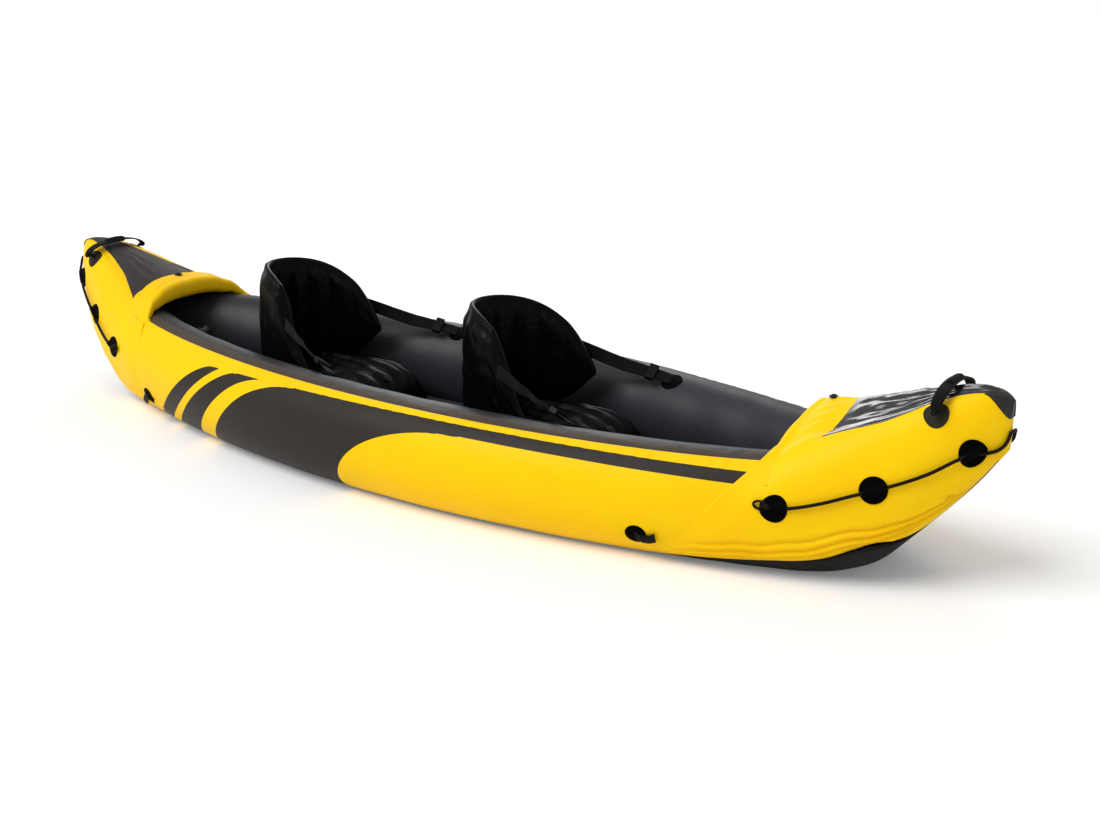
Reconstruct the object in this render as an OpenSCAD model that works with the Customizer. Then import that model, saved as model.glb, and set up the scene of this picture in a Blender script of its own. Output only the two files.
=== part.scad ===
// Inflatable tandem kayak: two side tubes, an I-beam floor, covered ends and two strapped seats.
// Frame: +X to the bow, +Y to port, +Z up; the origin is on the ground under the middle of the hull.

/* [Hull] */
// Overall length over both noses
length = 3120; // [2960:10:3280]
// Overall beam over the side tubes
beam = 910; // [880:5:960]
// Width of one inflated side tube
tube_w = 235; // [222:1:242]
// Height of the tube tops amidships
tube_h = 280; // [268:2:292]
// Height of the tube tops at the noses
tube_nose_h = 390; // [370:2:396]
// Height to which the raked stems lift the keel
stem_h = 355; // [330:5:360]
// Width of the blunt noses
nose_w = 42; // [36:1:52]

/* [Skins] */
// Thickness of the vinyl panels and welded patches
skin_t = 2; // [1.5:0.1:2.6]
// Space between a tube and the panel welded on it
layer_gap = 0.4; // [0.3:0.05:0.5]
// Space between the side panels and the end covers drawn over them
cover_gap = 1.9; // [1.8:0.1:3]
// Space between a surface and a patch welded on it
patch_gap = 0.7; // [0.6:0.05:1]

/* [Floor] */
// Height of the inflated floor
floor_h = 84; // [70:1:92]
// Spacing of the floor's lengthwise tubes
rib_pitch = 62; // [58:1:64]
// Length of the inflated floor
floor_l = 2000; // [1800:10:2040]

/* [End covers] */
// Length over which the end covers rise, back from the tubes' noses
cover_l = 471; // [451:5:491]
// Height of the covers' upper edges where they begin
cover_h = 294; // [292:1:304]
// Rise of the bow cover's upper edge
bow_rise = 215; // [200:1:216]
// Rise of the stern cover's upper edge
stern_rise = 162; // [150:1:170]
// How far the bow cover's rear edge sweeps back on its way down
bow_sweep = 345; // [300:5:360]
// How far the stern cover's front edge sweeps in on its way down
stern_sweep = 110; // [90:5:140]
// Ridge of the bow deck over its side edges
bow_crown = 60; // [45:1:64]
// Ridge of the stern deck over its side edges
stern_crown = 25; // [15:1:30]

/* [Coaming rolls] */
// Diameter of the rolls across the cockpit's ends
roll_d = 70; // [60:1:74]
// Distance from the tubes' noses back to the top of each roll
roll_l = 426; // [422:1:434]
// Arch of the bow roll over the tube tops
bow_roll_arch = 30; // [20:1:40]
// Arch of the stern roll over the tube tops
stern_roll_arch = 2; // [0:1:10]

/* [Seats] */
// Rear face of the front seat, from midships
front_seat_x = 66; // [50:1:80]
// Distance between the two seats
seat_spacing = 765; // [745:1:775]
// Width of the wrap-round backrest over its wings, at half its thickness
back_w = 310; // [290:2:316]
// Reach of the wings in front of the backrest's middle
back_reach = 285; // [260:1:290]
// Height of the backrest's top over the ground
back_top = 478; // [450:1:486]
// Thickness of the backrest
back_t = 55; // [45:1:58]
// Number of upright flutes in the backrest
flutes = 10; // [8:1:11]
// Width of the seat cushion
cushion_w = 300; // [270:2:306]
// Length of the seat cushion
cushion_l = 430; // [400:2:436]
// Thickness of the seat cushion at its crown
cushion_t = 128; // [118:1:132]
// Width of the webbing straps
strap_w = 36; // [30:1:38]
// Distance from the seat to the strap's anchor
anchor_reach = 474; // [460:1:490]

/* [Fittings] */
// Radius of the round grab-line patches
line_patch_r = 33; // [30:1:35]
// Diameter of the grab lines
line_d = 10; // [8:0.5:10]
// Radius of the handle patches
handle_patch_r = 29; // [26:1:32]
// Distance from the tubes' noses back to each handle
handle_l = 146; // [141:1:156]
// Diameter of the handle grips
grip_d = 18; // [15:1:20]
// Diameter of the handle pins
pin_d = 8; // [6:0.5:9]
// Radius of the tie-down patches
tie_patch_r = 27; // [24:1:30]
// Radius of the valve flanges
valve_r = 25; // [22:1:27]
// Radius of the threaded hole in each valve
valve_bore_r = 12.3; // [11:0.1:13]
// Clearance of turning pieces
turn_gap = 0.3; // [0.25:0.05:0.4]

/* [Hidden] */

yellow = "#ffd20a";
charcoal = "#45454a";
inner_grey = "#3c3d42";
seat_black = "#101216";
patch_black = "#0c0c0c";

panel_out = layer_gap + skin_t;             // outer face of the side panels, over the tubes
cover_in = panel_out + cover_gap;           // inner face of the end covers
cover_out = cover_in + skin_t;              // outer face of the end covers
patch_in = cover_out + patch_gap;           // underside of what is welded to the covers
patch_out = patch_in + skin_t;
tube_l = length/2 - patch_out;              // half the length of the bare tubes
tube_b = beam/2 - panel_out;                // half the beam of the bare tubes
cover_x = tube_l - cover_l;                 // where the covers begin to rise, the rolls and the handles, from midships
roll_x = tube_l - roll_l;
handle_x = tube_l - handle_l;
plan_power = 0.86;                          // fullness of the hull's plan
nose_power = 50;                            // bluntness of the noses
sheer_power = 6.6;                          // the tops run level, then rise quickly at the ends
stem_start = 0.73;                          // share of the half length at which the keel begins to lift
stem_power = 1.88;
tube_split = 1;                             // space between the two tubes where they meet
tube_end = 0.985;                           // share of the half length that the tubes reach
nose_end = 0.998;                           // share that the covers' last columns reach
seam_a = 64;                                // angle of the seam between outer and inner skin
side_low_a = -72;                           // lower edge of the side panels amidships
bilge_lift = 32;                            // the bottom panel climbs by this angle near the ends
bilge_t = 0.81;
bilge_w = 0.08;
cover_low_a = -55;                          // lower edge of the end covers
edge_power = 1.25;
rise_power = 0.85;
nose_drop = 50;                             // the covers round off at the nose
drop_power = 12;

stations = 36;
panel_steps = 6;                            // facets of a tube's section: outer side, bilge, inside
bilge_steps = 3;
inner_steps = 9;
cover_columns = 12;
cover_rows = 9;

function unit(v) = v/norm(v);
function flat(rows) = [for (row = rows) for (p = row) p];
function mix(a, b, s) = a + (b - a)*s;

// Hull shape. t runs from -1 at the stern to 1 at the bow; angle 0 is the widest point of a tube's
// outside, 90 its top. All points are on the starboard side.
function half_beam(t) = let(u = abs(t))
  (nose_w/2 + (tube_b - nose_w/2)*pow(max(0, 1 - u*u), plan_power))*sqrt(max(0, 1 - pow(u, nose_power)));
function tube_rx(t) = max(0, min(tube_w/2, (half_beam(t) - tube_split/2)/2));
function tube_y(t) = half_beam(t) - tube_rx(t);
function tube_top(t) = tube_h + (tube_nose_h - tube_h)*pow(abs(t), sheer_power);
function tube_low(t) = panel_out + stem_h*pow(max(0, (abs(t) - stem_start)/(1 - stem_start)), stem_power);
function tube_mid(t) = (tube_top(t) + tube_low(t))/2;
function tube_rz(t) = (tube_top(t) - tube_low(t))/2;
function tube_point(x, a, off) = let(t = x/tube_l)
  [t*(tube_l + off), -tube_y(t) - (tube_rx(t) + off)*cos(a), tube_mid(t) + (tube_rz(t) + off)*sin(a)];
function tube_inner_y(x) = tube_y(x/tube_l) - tube_rx(x/tube_l);
function side_low(t) = side_low_a + bilge_lift*exp(-pow((abs(t) - bilge_t)/bilge_w, 2));
function station(i) = tube_l*tube_end*sin(90*(2*i/stations - 1));
inner_step = (270 - seam_a)/inner_steps;
function side_angles(x) = let(low = side_low(x/tube_l)) [for (k = [0:panel_steps]) low + (seam_a - low)*k/panel_steps];
function bilge_angles(x) = let(low = side_low(x/tube_l)) [for (k = [0:bilge_steps]) low - (90 + low)*k/bilge_steps];

// End covers: as the tubes below their widest line, and drawn up to the deck's edge above it.
function cover_share(x) = max(0, (abs(x) - cover_x)/(tube_l - cover_x));
function deck_edge(x, rise) = let(w = cover_share(x))
  cover_h + rise*pow(w, rise_power) - nose_drop*pow(w, drop_power);
function cover_point(x, a, off, rise) = let(t = x/tube_l)
  [t*(tube_l + off), -tube_y(t) - (tube_rx(t) + off)*cos(a),
   tube_mid(t) + ((a > 0 ? deck_edge(x, rise) - tube_mid(t) : tube_rz(t)) + off)*sin(a)];
function cover_edge_x(a, sweep) = roll_x + roll_d/2 - 18 - sweep*pow((90 - a)/(90 - cover_low_a), edge_power);
function cover_low(t) = max(cover_low_a, side_low(t) + 4);
// Angle at which the cover stands at a given height
function cover_angle(x, z, rise) = let(m = tube_mid(x/tube_l))
  z > m ? asin((z - m)/(deck_edge(x, rise) - m)) : -asin(min(1, (m - z)/tube_rz(x/tube_l)));

// Surface as a function literal, so that patches and fittings can sit on any of them
function cover_surface(rise) = function(x, a, off) cover_point(x, a, off, rise);
tube_surface = function(x, a, off) tube_point(x, a, off);
function surface_normal(f, x, a) =
  unit(cross(f(x + 1, a, 0) - f(x - 1, a, 0), f(x, a + 1, 0) - f(x, a - 1, 0)));

// Solid building blocks
function tri(a, b, c, d, other = false) = other ? [[a, d, b], [b, d, c]] : [[a, c, b], [a, d, c]];
never = function(i, j) false;

// Thin shell between an outer and an inner grid of points; other says which squares are cut
// along their second diagonal, so that both sides of the hull are alike
module shell(outer, inner, other = never) {
  n = len(outer);
  m = len(outer[0]);
  k = n*m;
  faces = [
    for (i = [0:n-2]) for (j = [0:m-2])
      each tri(i*m + j, (i+1)*m + j, (i+1)*m + j+1, i*m + j+1, other(i, j)),
    for (i = [0:n-2]) for (j = [0:m-2])
      each tri(k + i*m + j, k + i*m + j+1, k + (i+1)*m + j+1, k + (i+1)*m + j, other(i, j)),
    for (i = [0:n-2]) each tri(i*m, k + i*m, k + (i+1)*m, (i+1)*m),
    for (i = [0:n-2]) each tri(i*m + m-1, (i+1)*m + m-1, k + (i+1)*m + m-1, k + i*m + m-1),
    for (j = [0:m-2]) each tri(j, j+1, k + j+1, k + j),
    for (j = [0:m-2]) each tri(k - m + j, 2*k - m + j, 2*k - m + j+1, k - m + j+1)
  ];
  polyhedron(points = concat(flat(outer), flat(inner)), faces = faces);
}

// Solid through a row of rings, closed at both ends by a point in the ring's middle
module loft(first, rings, last) {
  n = len(rings);
  m = len(rings[0]);
  faces = [
    for (j = [0:m-1]) [0, 1 + (j+1)%m, 1 + j],
    for (i = [0:n-2]) for (j = [0:m-1])
      each tri(1 + i*m + j, 1 + (i+1)*m + j, 1 + (i+1)*m + (j+1)%m, 1 + i*m + (j+1)%m),
    for (j = [0:m-1]) [n*m + 1, 1 + (n-1)*m + j, 1 + (n-1)*m + (j+1)%m]
  ];
  polyhedron(points = concat([first], flat(rings), [last]), faces = faces);
}

// Tube of radius r(i) along a path
module tube_along(path, radii, sides) {
  last = len(path) - 1;
  rings = [for (i = [0:last]) let(
      d = unit(path[min(last, i+1)] - path[max(0, i-1)]),
      across = unit(cross(d, [0, 0, 1])),
      over = cross(across, d))
    [for (k = [0:sides-1]) path[i] + radii[i]*(across*cos(360*k/sides) + over*sin(360*k/sides))]];
  loft(path[0], rings, path[last]);
}

// Round patch welded on a surface f, its underside off away from it
module round_patch(f, x, a, r, off) {
  seg = 12;
  bevel = skin_t*0.7;
  along = norm(f(x + 0.5, a, off) - f(x - 0.5, a, off));
  around = norm(f(x, a + 0.5, off) - f(x, a - 0.5, off));
  function ring(q, h) = [for (k = [0:seg-1])
    f(x + q*cos(360*k/seg)/along, a - q*sin(360*k/seg)/around, h)];
  loft(f(x, a, off), [ring(r/2, off), ring(r, off), ring(r - bevel, off + skin_t), ring(r/2, off + skin_t)],
       f(x, a, off + skin_t));
}

module on_surface(p, n) {
  translate(p) rotate([0, acos(n.z), atan2(n.y, n.x)]) children();
}

module both_sides() {
  children();
  mirror([0, 1, 0]) children();
}

// Side tubes, panels and bottom
module side_tube() {
  function ring(x) = let(side = side_angles(x), bilge = bilge_angles(x)) [
    for (a = side) tube_point(x, a, 0),
    for (k = [1:inner_steps]) tube_point(x, seam_a + inner_step*k, 0),
    for (k = [bilge_steps-1:-1:1]) tube_point(x, bilge[k], 0)
  ];
  function middle(x) = let(t = x/tube_l) [x, -tube_y(t), tube_mid(t)];
  loft(middle(station(0)), [for (i = [0:stations]) ring(station(i))], middle(station(stations)));
}

module side_panel() {
  function row(x, off) = [for (a = side_angles(x)) tube_point(x, a, off)];
  shell([for (i = [0:stations]) row(station(i), panel_out)], [for (i = [0:stations]) row(station(i), layer_gap)]);
}

module starboard_tube() { color(inner_grey) side_tube(); }
module port_tube() { color(inner_grey) mirror([0, 1, 0]) side_tube(); }
module starboard_side_panel() { color(yellow) side_panel(); }
module port_side_panel() { color(yellow) mirror([0, 1, 0]) side_panel(); }

module bottom_panel() {
  seam = 0.08;
  function half_row(x, off) = let(b = bilge_angles(x), q = [for (a = b) tube_point(x, a, off)])
    [for (k = [0:bilge_steps]) k == 0 ? mix(q[0], q[1], seam) : q[k]];
  function row(x, off) = let(h = half_row(x, off))
    concat([for (p = h) [p.x, -p.y, p.z]], [for (k = [bilge_steps:-1:0]) h[k]]);
  color(charcoal)
    shell([for (i = [0:stations]) row(station(i), panel_out)], [for (i = [0:stations]) row(station(i), layer_gap)],
          function(i, j) j < bilge_steps);
}

// Inflated floor: lengthwise tubes side by side, trimmed to the space between the side tubes
floor_z = panel_out;
floor_top = floor_z + floor_h;
floor_steps = 24;
floor_side_gap = 6;
function floor_half_w(x) = let(t = x/tube_l, s = (floor_top - tube_mid(t))/tube_rz(t))
  tube_y(t) - tube_rx(t)*sqrt(1 - min(0, s)*min(0, s)) - floor_side_gap;

module ibeam_floor() {
  r = floor_h/2;
  ribs = 7;
  function edge_x(i) = mix(-floor_l/2, floor_l/2, i/floor_steps);
  outline = concat([for (i = [0:floor_steps]) [edge_x(i), -floor_half_w(edge_x(i))]],
                   [for (i = [floor_steps:-1:0]) [edge_x(i), floor_half_w(edge_x(i))]]);
  color(inner_grey) intersection() {
    translate([0, 0, floor_z]) linear_extrude(floor_h) polygon(outline);
    rotate([90, 0, 90]) linear_extrude(floor_l + 2, center = true)
      for (k = [0:ribs-1]) translate([(k - (ribs-1)/2)*rib_pitch, floor_z + r]) circle(r, $fn = 48);
  }
}

// End covers, decks, nose patches
module end_cover(rise, sweep) {
  function share(i) = 1 - pow(1 - i/cover_columns, 1.7);
  function column(i, off) = [for (j = [0:cover_rows]) let(
      edge_a = mix(cover_low_a, 90, j/cover_rows),
      x = mix(cover_edge_x(edge_a, sweep), tube_l*nose_end, share(i)),
      a = mix(cover_low(x/tube_l), 90, j/cover_rows))
    cover_point(x, a, off, rise)];
  function across(off) = concat(
    [for (i = [0:cover_columns]) column(i, off)],
    [for (i = [cover_columns:-1:0]) [for (p = column(i, off)) [p.x, -p.y, p.z]]]);
  shell(across(cover_out), across(cover_in), function(i, j) i < cover_columns);
}

deck_steps = 8;
deck_half_steps = 4;
deck_tip = 0.992;                           // share of the half length at which a deck ends
deck_gap = 3;                               // space between a deck and the roll behind it
deck_side_gap = 0.8;
ridge_power = 1.3;                          // a deck slopes nearly straight from its ridge to its sides
function deck_rear_x(u) = roll_x + roll_d/2 + deck_gap - 22*u*u;
function deck_point(u, v, off, rise, crown) = let(
    x = mix(deck_rear_x(u), tube_l*deck_tip, v))
  [x*(tube_l + off)/tube_l, -u*(tube_y(x/tube_l) - deck_side_gap),
   deck_edge(x, rise) + off + crown*(1 - cover_share(x))*(1 - pow(abs(u), ridge_power))];

module deck(rise, crown) {
  function grid(off) = [for (i = [0:deck_steps]) [for (k = [-deck_half_steps:deck_half_steps])
    deck_point(-k/deck_half_steps, i/deck_steps, off, rise, crown)]];
  shell(grid(cover_out), grid(cover_in));
}

module nose_patch(rise) {
  columns = 5;
  rows = 4;
  low_a = 28;
  rear = 0.958;
  nose_gap = 0.5;
  function column(i, off) = [for (j = [0:rows]) let(
      a = mix(low_a, 90, j/rows),
      start = mix(nose_end - 0.012, rear, j/rows),
      x = tube_l*mix(start, nose_end, i/columns))
    cover_point(x, a, off, rise)];
  function across(off) = concat(
    [for (i = [0:columns]) column(i, off)],
    [for (i = [columns:-1:0]) [for (p = column(i, off)) [p.x, -p.y, p.z]]]);
  shell(across(patch_out + nose_gap), across(patch_in + nose_gap), function(i, j) i < columns);
}

module bow_cover() { color(yellow) end_cover(bow_rise, bow_sweep); }
module stern_cover() { color(yellow) mirror([1, 0, 0]) end_cover(stern_rise, stern_sweep); }
module bow_deck() { color(charcoal) deck(bow_rise, bow_crown); }
module stern_deck() { color(charcoal) mirror([1, 0, 0]) deck(stern_rise, stern_crown); }
module bow_nose_patch() { color(charcoal) nose_patch(bow_rise); }
module stern_nose_patch() { color(charcoal) mirror([1, 0, 0]) nose_patch(stern_rise); }

// Coaming rolls: across the tube tops, then down round the outside of each tube
roll_steps = 22;
roll_bend = 0.55;                           // share of a roll's half that spans the tube tops
roll_back = 95;                             // how far the ends come back towards midships
roll_down_a = 44;                           // how far round the tube the ends reach
bow_slim = 0.72;                            // share of its thickness that a roll loses on its way to the tubes
stern_slim = 0.12;
roll_taper = 0.7;                           // share that it loses on its way down them
arch_power = 1.3;                           // the arch runs nearly straight up to its peak
roll_gap = 1;                               // space between a roll and the side panels under it
function roll_r(s, slim) = roll_d/2*(1 - slim*min(1, abs(s)/roll_bend))
  *(1 - roll_taper*max(0, (abs(s) - roll_bend)/(1 - roll_bend)));
function roll_path(s, arch, slim) = let(
    q = abs(s),
    x = roll_x - roll_back*q*q,
    t = x/tube_l,
    over = roll_r(s, slim) + roll_gap + panel_out,
    p = q > roll_bend
      ? tube_point(x, 90 - roll_down_a*(q - roll_bend)/(1 - roll_bend), over)
      : [x, -tube_y(t)*q/roll_bend, tube_top(t) + over + arch*(1 - pow(q/roll_bend, arch_power))])
  [x, s < 0 ? p.y : -p.y, p.z];

module roll(arch, slim) {
  path = [for (i = [0:roll_steps]) roll_path(2*i/roll_steps - 1, arch, slim)];
  tube_along(path, [for (i = [0:roll_steps]) roll_r(2*i/roll_steps - 1, slim)], 12);
}
module bow_roll() { color(yellow) roll(bow_roll_arch, bow_slim); }
module stern_roll() { color(yellow) mirror([1, 0, 0]) roll(stern_roll_arch, stern_slim); }

// Grab lines: round patches on the covers, and a line laced over them round the nose.
// Places are distance back from the tubes' noses and height; the line's points run from its tail to the nose.
bow_line_patches_at = [[447, 188], [244, 253], [61, 352]];
stern_line_patches_at = [[385, 176], [225, 240], [73, 322]];
bow_line_route = [[479, 190], [447, 188], [401, 196], [346, 213], [291, 235], [244, 253], [191, 276],
                  [141, 302], [96, 330], [61, 352], [39, 354], [19, 361], [7, 376], [2, 396]];
stern_line_route = [[417, 178], [385, 176], [346, 187], [296, 206], [251, 227], [225, 240], [181, 262],
                    [141, 284], [106, 303], [73, 322], [39, 343], [14, 360], [2, 370]];
line_over = patch_out + 0.9*line_d/2;
knot_r = 8;

function line_point(p, rise) = let(x = tube_l - p[0])
  cover_point(x, cover_angle(x, p[1], rise), line_over, rise);
function line_path(route, rise) = let(
    n = len(route) - 1,
    fine = concat([for (i = [0:n-1]) each [route[i], mix(route[i], route[i+1], 0.5)]], [route[n]]),
    side = [for (p = fine) line_point(p, rise)],
    turn = len(side) - 1)
  concat(side, [for (i = [turn:-1:0]) [side[i].x, -side[i].y, side[i].z]]);

module line_patches(at, rise) {
  f = cover_surface(rise);
  both_sides() for (p = at) let(x = tube_l - p[0])
    round_patch(f, x, cover_angle(x, p[1], rise), line_patch_r, patch_in);
}
module grab_line(route, rise) {
  path = line_path(route, rise);
  tube_along(path, [for (p = path) line_d/2], 8);
}
module line_knots(route, rise) {
  path = line_path(route, rise);
  away = unit(path[0] - path[1]);
  both_sides() translate(path[0] + away*(knot_r + layer_gap)) sphere(knot_r, $fn = 32);
}
module bow_line_patches() { color(patch_black) line_patches(bow_line_patches_at, bow_rise); }
module stern_line_patches() {
  color(patch_black) mirror([1, 0, 0]) line_patches(stern_line_patches_at, stern_rise);
}
module bow_grab_line() { color("#2b1b10") grab_line(bow_line_route, bow_rise); }
module stern_grab_line() { color("#2b1b10") mirror([1, 0, 0]) grab_line(stern_line_route, stern_rise); }
module bow_line_knots() { color("#2b1b10") line_knots(bow_line_route, bow_rise); }
module stern_line_knots() { color("#2b1b10") mirror([1, 0, 0]) line_knots(stern_line_route, stern_rise); }

// Carrying handles: a strap and grip that swing on pins over two round patches
handle_a = 64;                              // angle of the handle patches on the cover
pin_lift = 13;                              // height of the pins over the patches
eye_w = 12;
eye_wall = 3.5;
bow_handle_rise = 50;                       // height of a grip's middle over its pins
stern_handle_rise = 33;
strap_t = 4;
handle_strap_w = 30;
strap_foot = 6;                             // height over the pins at which the strap leaves the eyes
function handle_base(rise) = cover_point(handle_x, handle_a, patch_out + layer_gap, rise);
function handle_normal(rise) = surface_normal(cover_surface(rise), handle_x, handle_a);
function handle_pin(rise) = handle_base(rise) + handle_normal(rise)*pin_lift;

module handle_patches(rise) {
  both_sides() round_patch(cover_surface(rise), handle_x, handle_a, handle_patch_r, patch_in);
}
module handle_pins(rise) {
  post_r = pin_d/2 + 1;
  both_sides() {
    on_surface(handle_base(rise), handle_normal(rise)) cylinder(h = pin_lift, r = post_r, $fn = 48);
    translate(handle_pin(rise)) rotate([90, 0, 0]) cylinder(h = eye_w + post_r + 2, d = pin_d, $fn = 48);
  }
}
module handle(rise, handle_rise) {
  pin = handle_pin(rise);
  eye_y = -pin.y + pin_d/2 + 2;
  eye_r = pin_d/2 + turn_gap + eye_wall;
  span = eye_y + eye_w/2;
  steps = 24;
  foot_a = asin(strap_foot/handle_rise);
  function arch(k, d) = let(a = mix(foot_a, 180 - foot_a, k/steps)) [(span + d)*cos(a), (handle_rise + d)*sin(a)];
  translate([pin.x, 0, pin.z]) difference() {
    union() {
      rotate([90, 0, 90]) translate([0, 0, -handle_strap_w/2]) linear_extrude(handle_strap_w) polygon(concat(
        [for (k = [0:steps]) arch(k, strap_t/2)], [for (k = [steps:-1:0]) arch(k, -strap_t/2)]));
      both_sides() translate([0, -eye_y - eye_w, 0]) rotate([-90, 0, 0]) cylinder(h = eye_w, r = eye_r, $fn = 48);
      translate([0, -span/3, handle_rise]) rotate([-90, 0, 0]) cylinder(h = span*2/3, d = grip_d, $fn = 48);
    }
    rotate([90, 0, 0]) cylinder(h = 4*span, r = pin_d/2 + turn_gap, center = true, $fn = 48);
  }
}
module bow_handle_patches() { color(patch_black) handle_patches(bow_rise); }
module stern_handle_patches() { color(patch_black) mirror([1, 0, 0]) handle_patches(stern_rise); }
module bow_handle_pins() { color(patch_black) handle_pins(bow_rise); }
module stern_handle_pins() { color(patch_black) mirror([1, 0, 0]) handle_pins(stern_rise); }
module bow_handle() { color(patch_black) handle(bow_rise, bow_handle_rise); }
module stern_handle() { color(patch_black) mirror([1, 0, 0]) handle(stern_rise, stern_handle_rise); }

// Tie-downs low on the sides: a welded patch and a webbing tab
bow_tie_l = 83.3;                           // from the covers' edges back to the tie-downs
stern_tie_l = 109;
tie_a = -28;
bow_tie_x = cover_edge_x(tie_a, bow_sweep) - bow_tie_l;
stern_tie_x = cover_edge_x(tie_a, stern_sweep) - stern_tie_l;
tab_l = 48;
tab_w = 24;
tie_in = panel_out + patch_gap;

module tie_patch(x) { round_patch(tube_surface, x, tie_a, tie_patch_r, tie_in); }
module tie_tab(x) {
  steps = 4;
  around = norm(tube_point(x, tie_a + 0.5, 0) - tube_point(x, tie_a - 0.5, 0));
  in = tie_in + skin_t + layer_gap;
  function grid(off) = [for (i = [0:steps]) [for (k = [-1:1])
    tube_point(x + tab_l*i/steps, tie_a + k*tab_w/2/around, off)]];
  shell(grid(in + skin_t), grid(in));
}
module tie_down_patches() {
  color(patch_black) both_sides() {
    tie_patch(bow_tie_x);
    mirror([1, 0, 0]) tie_patch(stern_tie_x);
  }
}
module tie_down_tabs() {
  color(patch_black) both_sides() {
    tie_tab(bow_tie_x);
    mirror([1, 0, 0]) tie_tab(stern_tie_x);
  }
}

// Seat cushions: crowned, drawn in at the sides, with sewn lengthwise channels
rear_seat_x = front_seat_x - seat_spacing;
cushion_z = floor_top + layer_gap;
cushion_edge = 26;                          // height of the cushion's edge
cushion_gap = 12;                           // space between a cushion's rear end and its backrest
wing_gap = 6;                               // space between a cushion and the wings beside it
cushion_side_gap = 6;
channels = 5;
cushion_long = 12;
cushion_cross = 20;
function cushion_x(seat_x, u) = seat_x + back_t/2 + cushion_gap + cushion_l*(u + 1)/2;
function cushion_half(seat_x, u) = let(
    x = cushion_x(seat_x, u),
    ahead = (x - seat_x)/back_reach,
    between = back_half_w(seat_x)*sqrt(1 - pow(max(0, 1 - ahead), 2)) - back_t/2 - wing_gap,
    past = back_t*max(0, ahead - 0.7),
    drawn = 1 - 0.07*pow(max(0, u), 6) - 0.03*(1 - u*u))
  min(cushion_w/2*drawn, between + past, tube_inner_y(x) - cushion_side_gap);
function cushion_point(seat_x, u, v) = let(
    swell = sqrt(max(0, (1 - pow(u, 4))*(1 - pow(v, 6)))),
    channel = 1 - 0.16*(1 - abs(sin(channels*90*(v + 1))))*swell)
  [cushion_x(seat_x, u), cushion_half(seat_x, u)*v,
   cushion_z + cushion_edge + (cushion_t - cushion_edge)*swell*channel];

module cushion(seat_x) {
  function share(i, n) = 2*i/n - 1;
  top = [for (i = [0:cushion_long]) [for (k = [0:cushion_cross])
    cushion_point(seat_x, share(i, cushion_long), share(k, cushion_cross))]];
  base = [for (row = top) [for (p = row) [p.x, p.y, cushion_z]]];
  shell(top, base);
}
module front_cushion() { color(seat_black) cushion(front_seat_x); }
module rear_cushion() { color(seat_black) cushion(rear_seat_x); }

// Backrests: an upright fluted shell that wraps round the paddler's hips
back_bottom = cushion_z + 40;
wing_top_drop = 172;                        // how far the wings' tips lie below the top
wing_lift = 128;                            // how far the wings' tips lift off the bottom edge
back_rim = 6;
back_rows = 8;
wing_side_gap = 10;
hinge_drop = 7.5;                             // the hinge line lies this far below the bottom edge
rod_d = 8;
hem_wall = 4.5;
ring_wall = 2;
hem_half = 28;                              // half the width of the hem round the rod
flap_side = 1;
flap_w = 14;
flap_t = 3;
flap_gap = 0.3;
function back_half_w(seat_x) = min(back_w/2, tube_inner_y(seat_x + back_reach*0.8) - back_t/2 - wing_side_gap);
function back_high(p) = back_top - wing_top_drop*pow(abs(p)/90, 4);
function back_low(p) = back_bottom + wing_lift*pow(abs(p)/90, 3);
// p runs from -90 at the starboard wing's tip to 90 at the port one; v from the bottom edge to the top
function back_point(seat_x, p, v, side) = let(
    hw = back_half_w(seat_x),
    out = unit([-hw*cos(p), back_reach*sin(p)]),
    full = sqrt(1 - pow(abs(2*v - 1), 4))*sqrt(1 - pow(abs(p)/90, 6)),
    flute = side > 0 ? 1 : 0.7 + 0.3*abs(sin(flutes*(p + 90))),
    h = side*(back_rim + (back_t - back_rim)*full*flute)/2)
  [seat_x + back_reach*(1 - cos(p)) + out.x*h, hw*sin(p) + out.y*h, mix(back_low(p), back_high(p), v)];

module backrest(seat_x) {
  columns = 4*flutes;
  hinge = [seat_x, 0, back_bottom - hinge_drop];
  function grid(side) = [for (i = [0:columns]) [for (j = [0:back_rows])
    back_point(seat_x, 90 - 180*i/columns, j/back_rows, side)]];
  difference() {
    union() {
      shell(grid(1), grid(-1));
      translate(hinge) rotate([90, 0, 0]) cylinder(h = 2*hem_half, r = rod_d/2 + turn_gap + hem_wall, center = true, $fn = 48);
    }
    translate(hinge) rotate([90, 0, 0]) cylinder(h = 2*hem_half + 2, r = rod_d/2 + turn_gap, center = true, $fn = 48);
  }
}
// Rod through the backrest's hem, held by two flaps at the cushion's rear edge
module seat_hinge(seat_x) {
  hinge = [seat_x, 0, back_bottom - hinge_drop];
  reach = cushion_x(seat_x, -1) - flap_gap - seat_x;
  low = cushion_z + cushion_edge/2 - hinge.z;
  translate(hinge) {
    rotate([90, 0, 0]) cylinder(h = 2*(hem_half + flap_side + flap_w), d = rod_d, center = true, $fn = 48);
    both_sides() translate([0, hem_half + flap_side, 0]) {
      rotate([-90, 0, 0]) cylinder(h = flap_w, r = rod_d/2 + ring_wall, $fn = 48);
      translate([0, flap_w, 0]) rotate([90, 0, 0]) linear_extrude(flap_w)
        polygon([[0, -flap_t/2], [reach, low - flap_t/2], [reach, low + flap_t/2], [0, flap_t/2]]);
    }
  }
}
module front_seat_hinge() { color(seat_black) seat_hinge(front_seat_x); }
module rear_seat_hinge() { color(seat_black) seat_hinge(rear_seat_x); }
module front_backrest() { color(seat_black) backrest(front_seat_x); }
module rear_backrest() { color(seat_black) backrest(rear_seat_x); }

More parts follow.
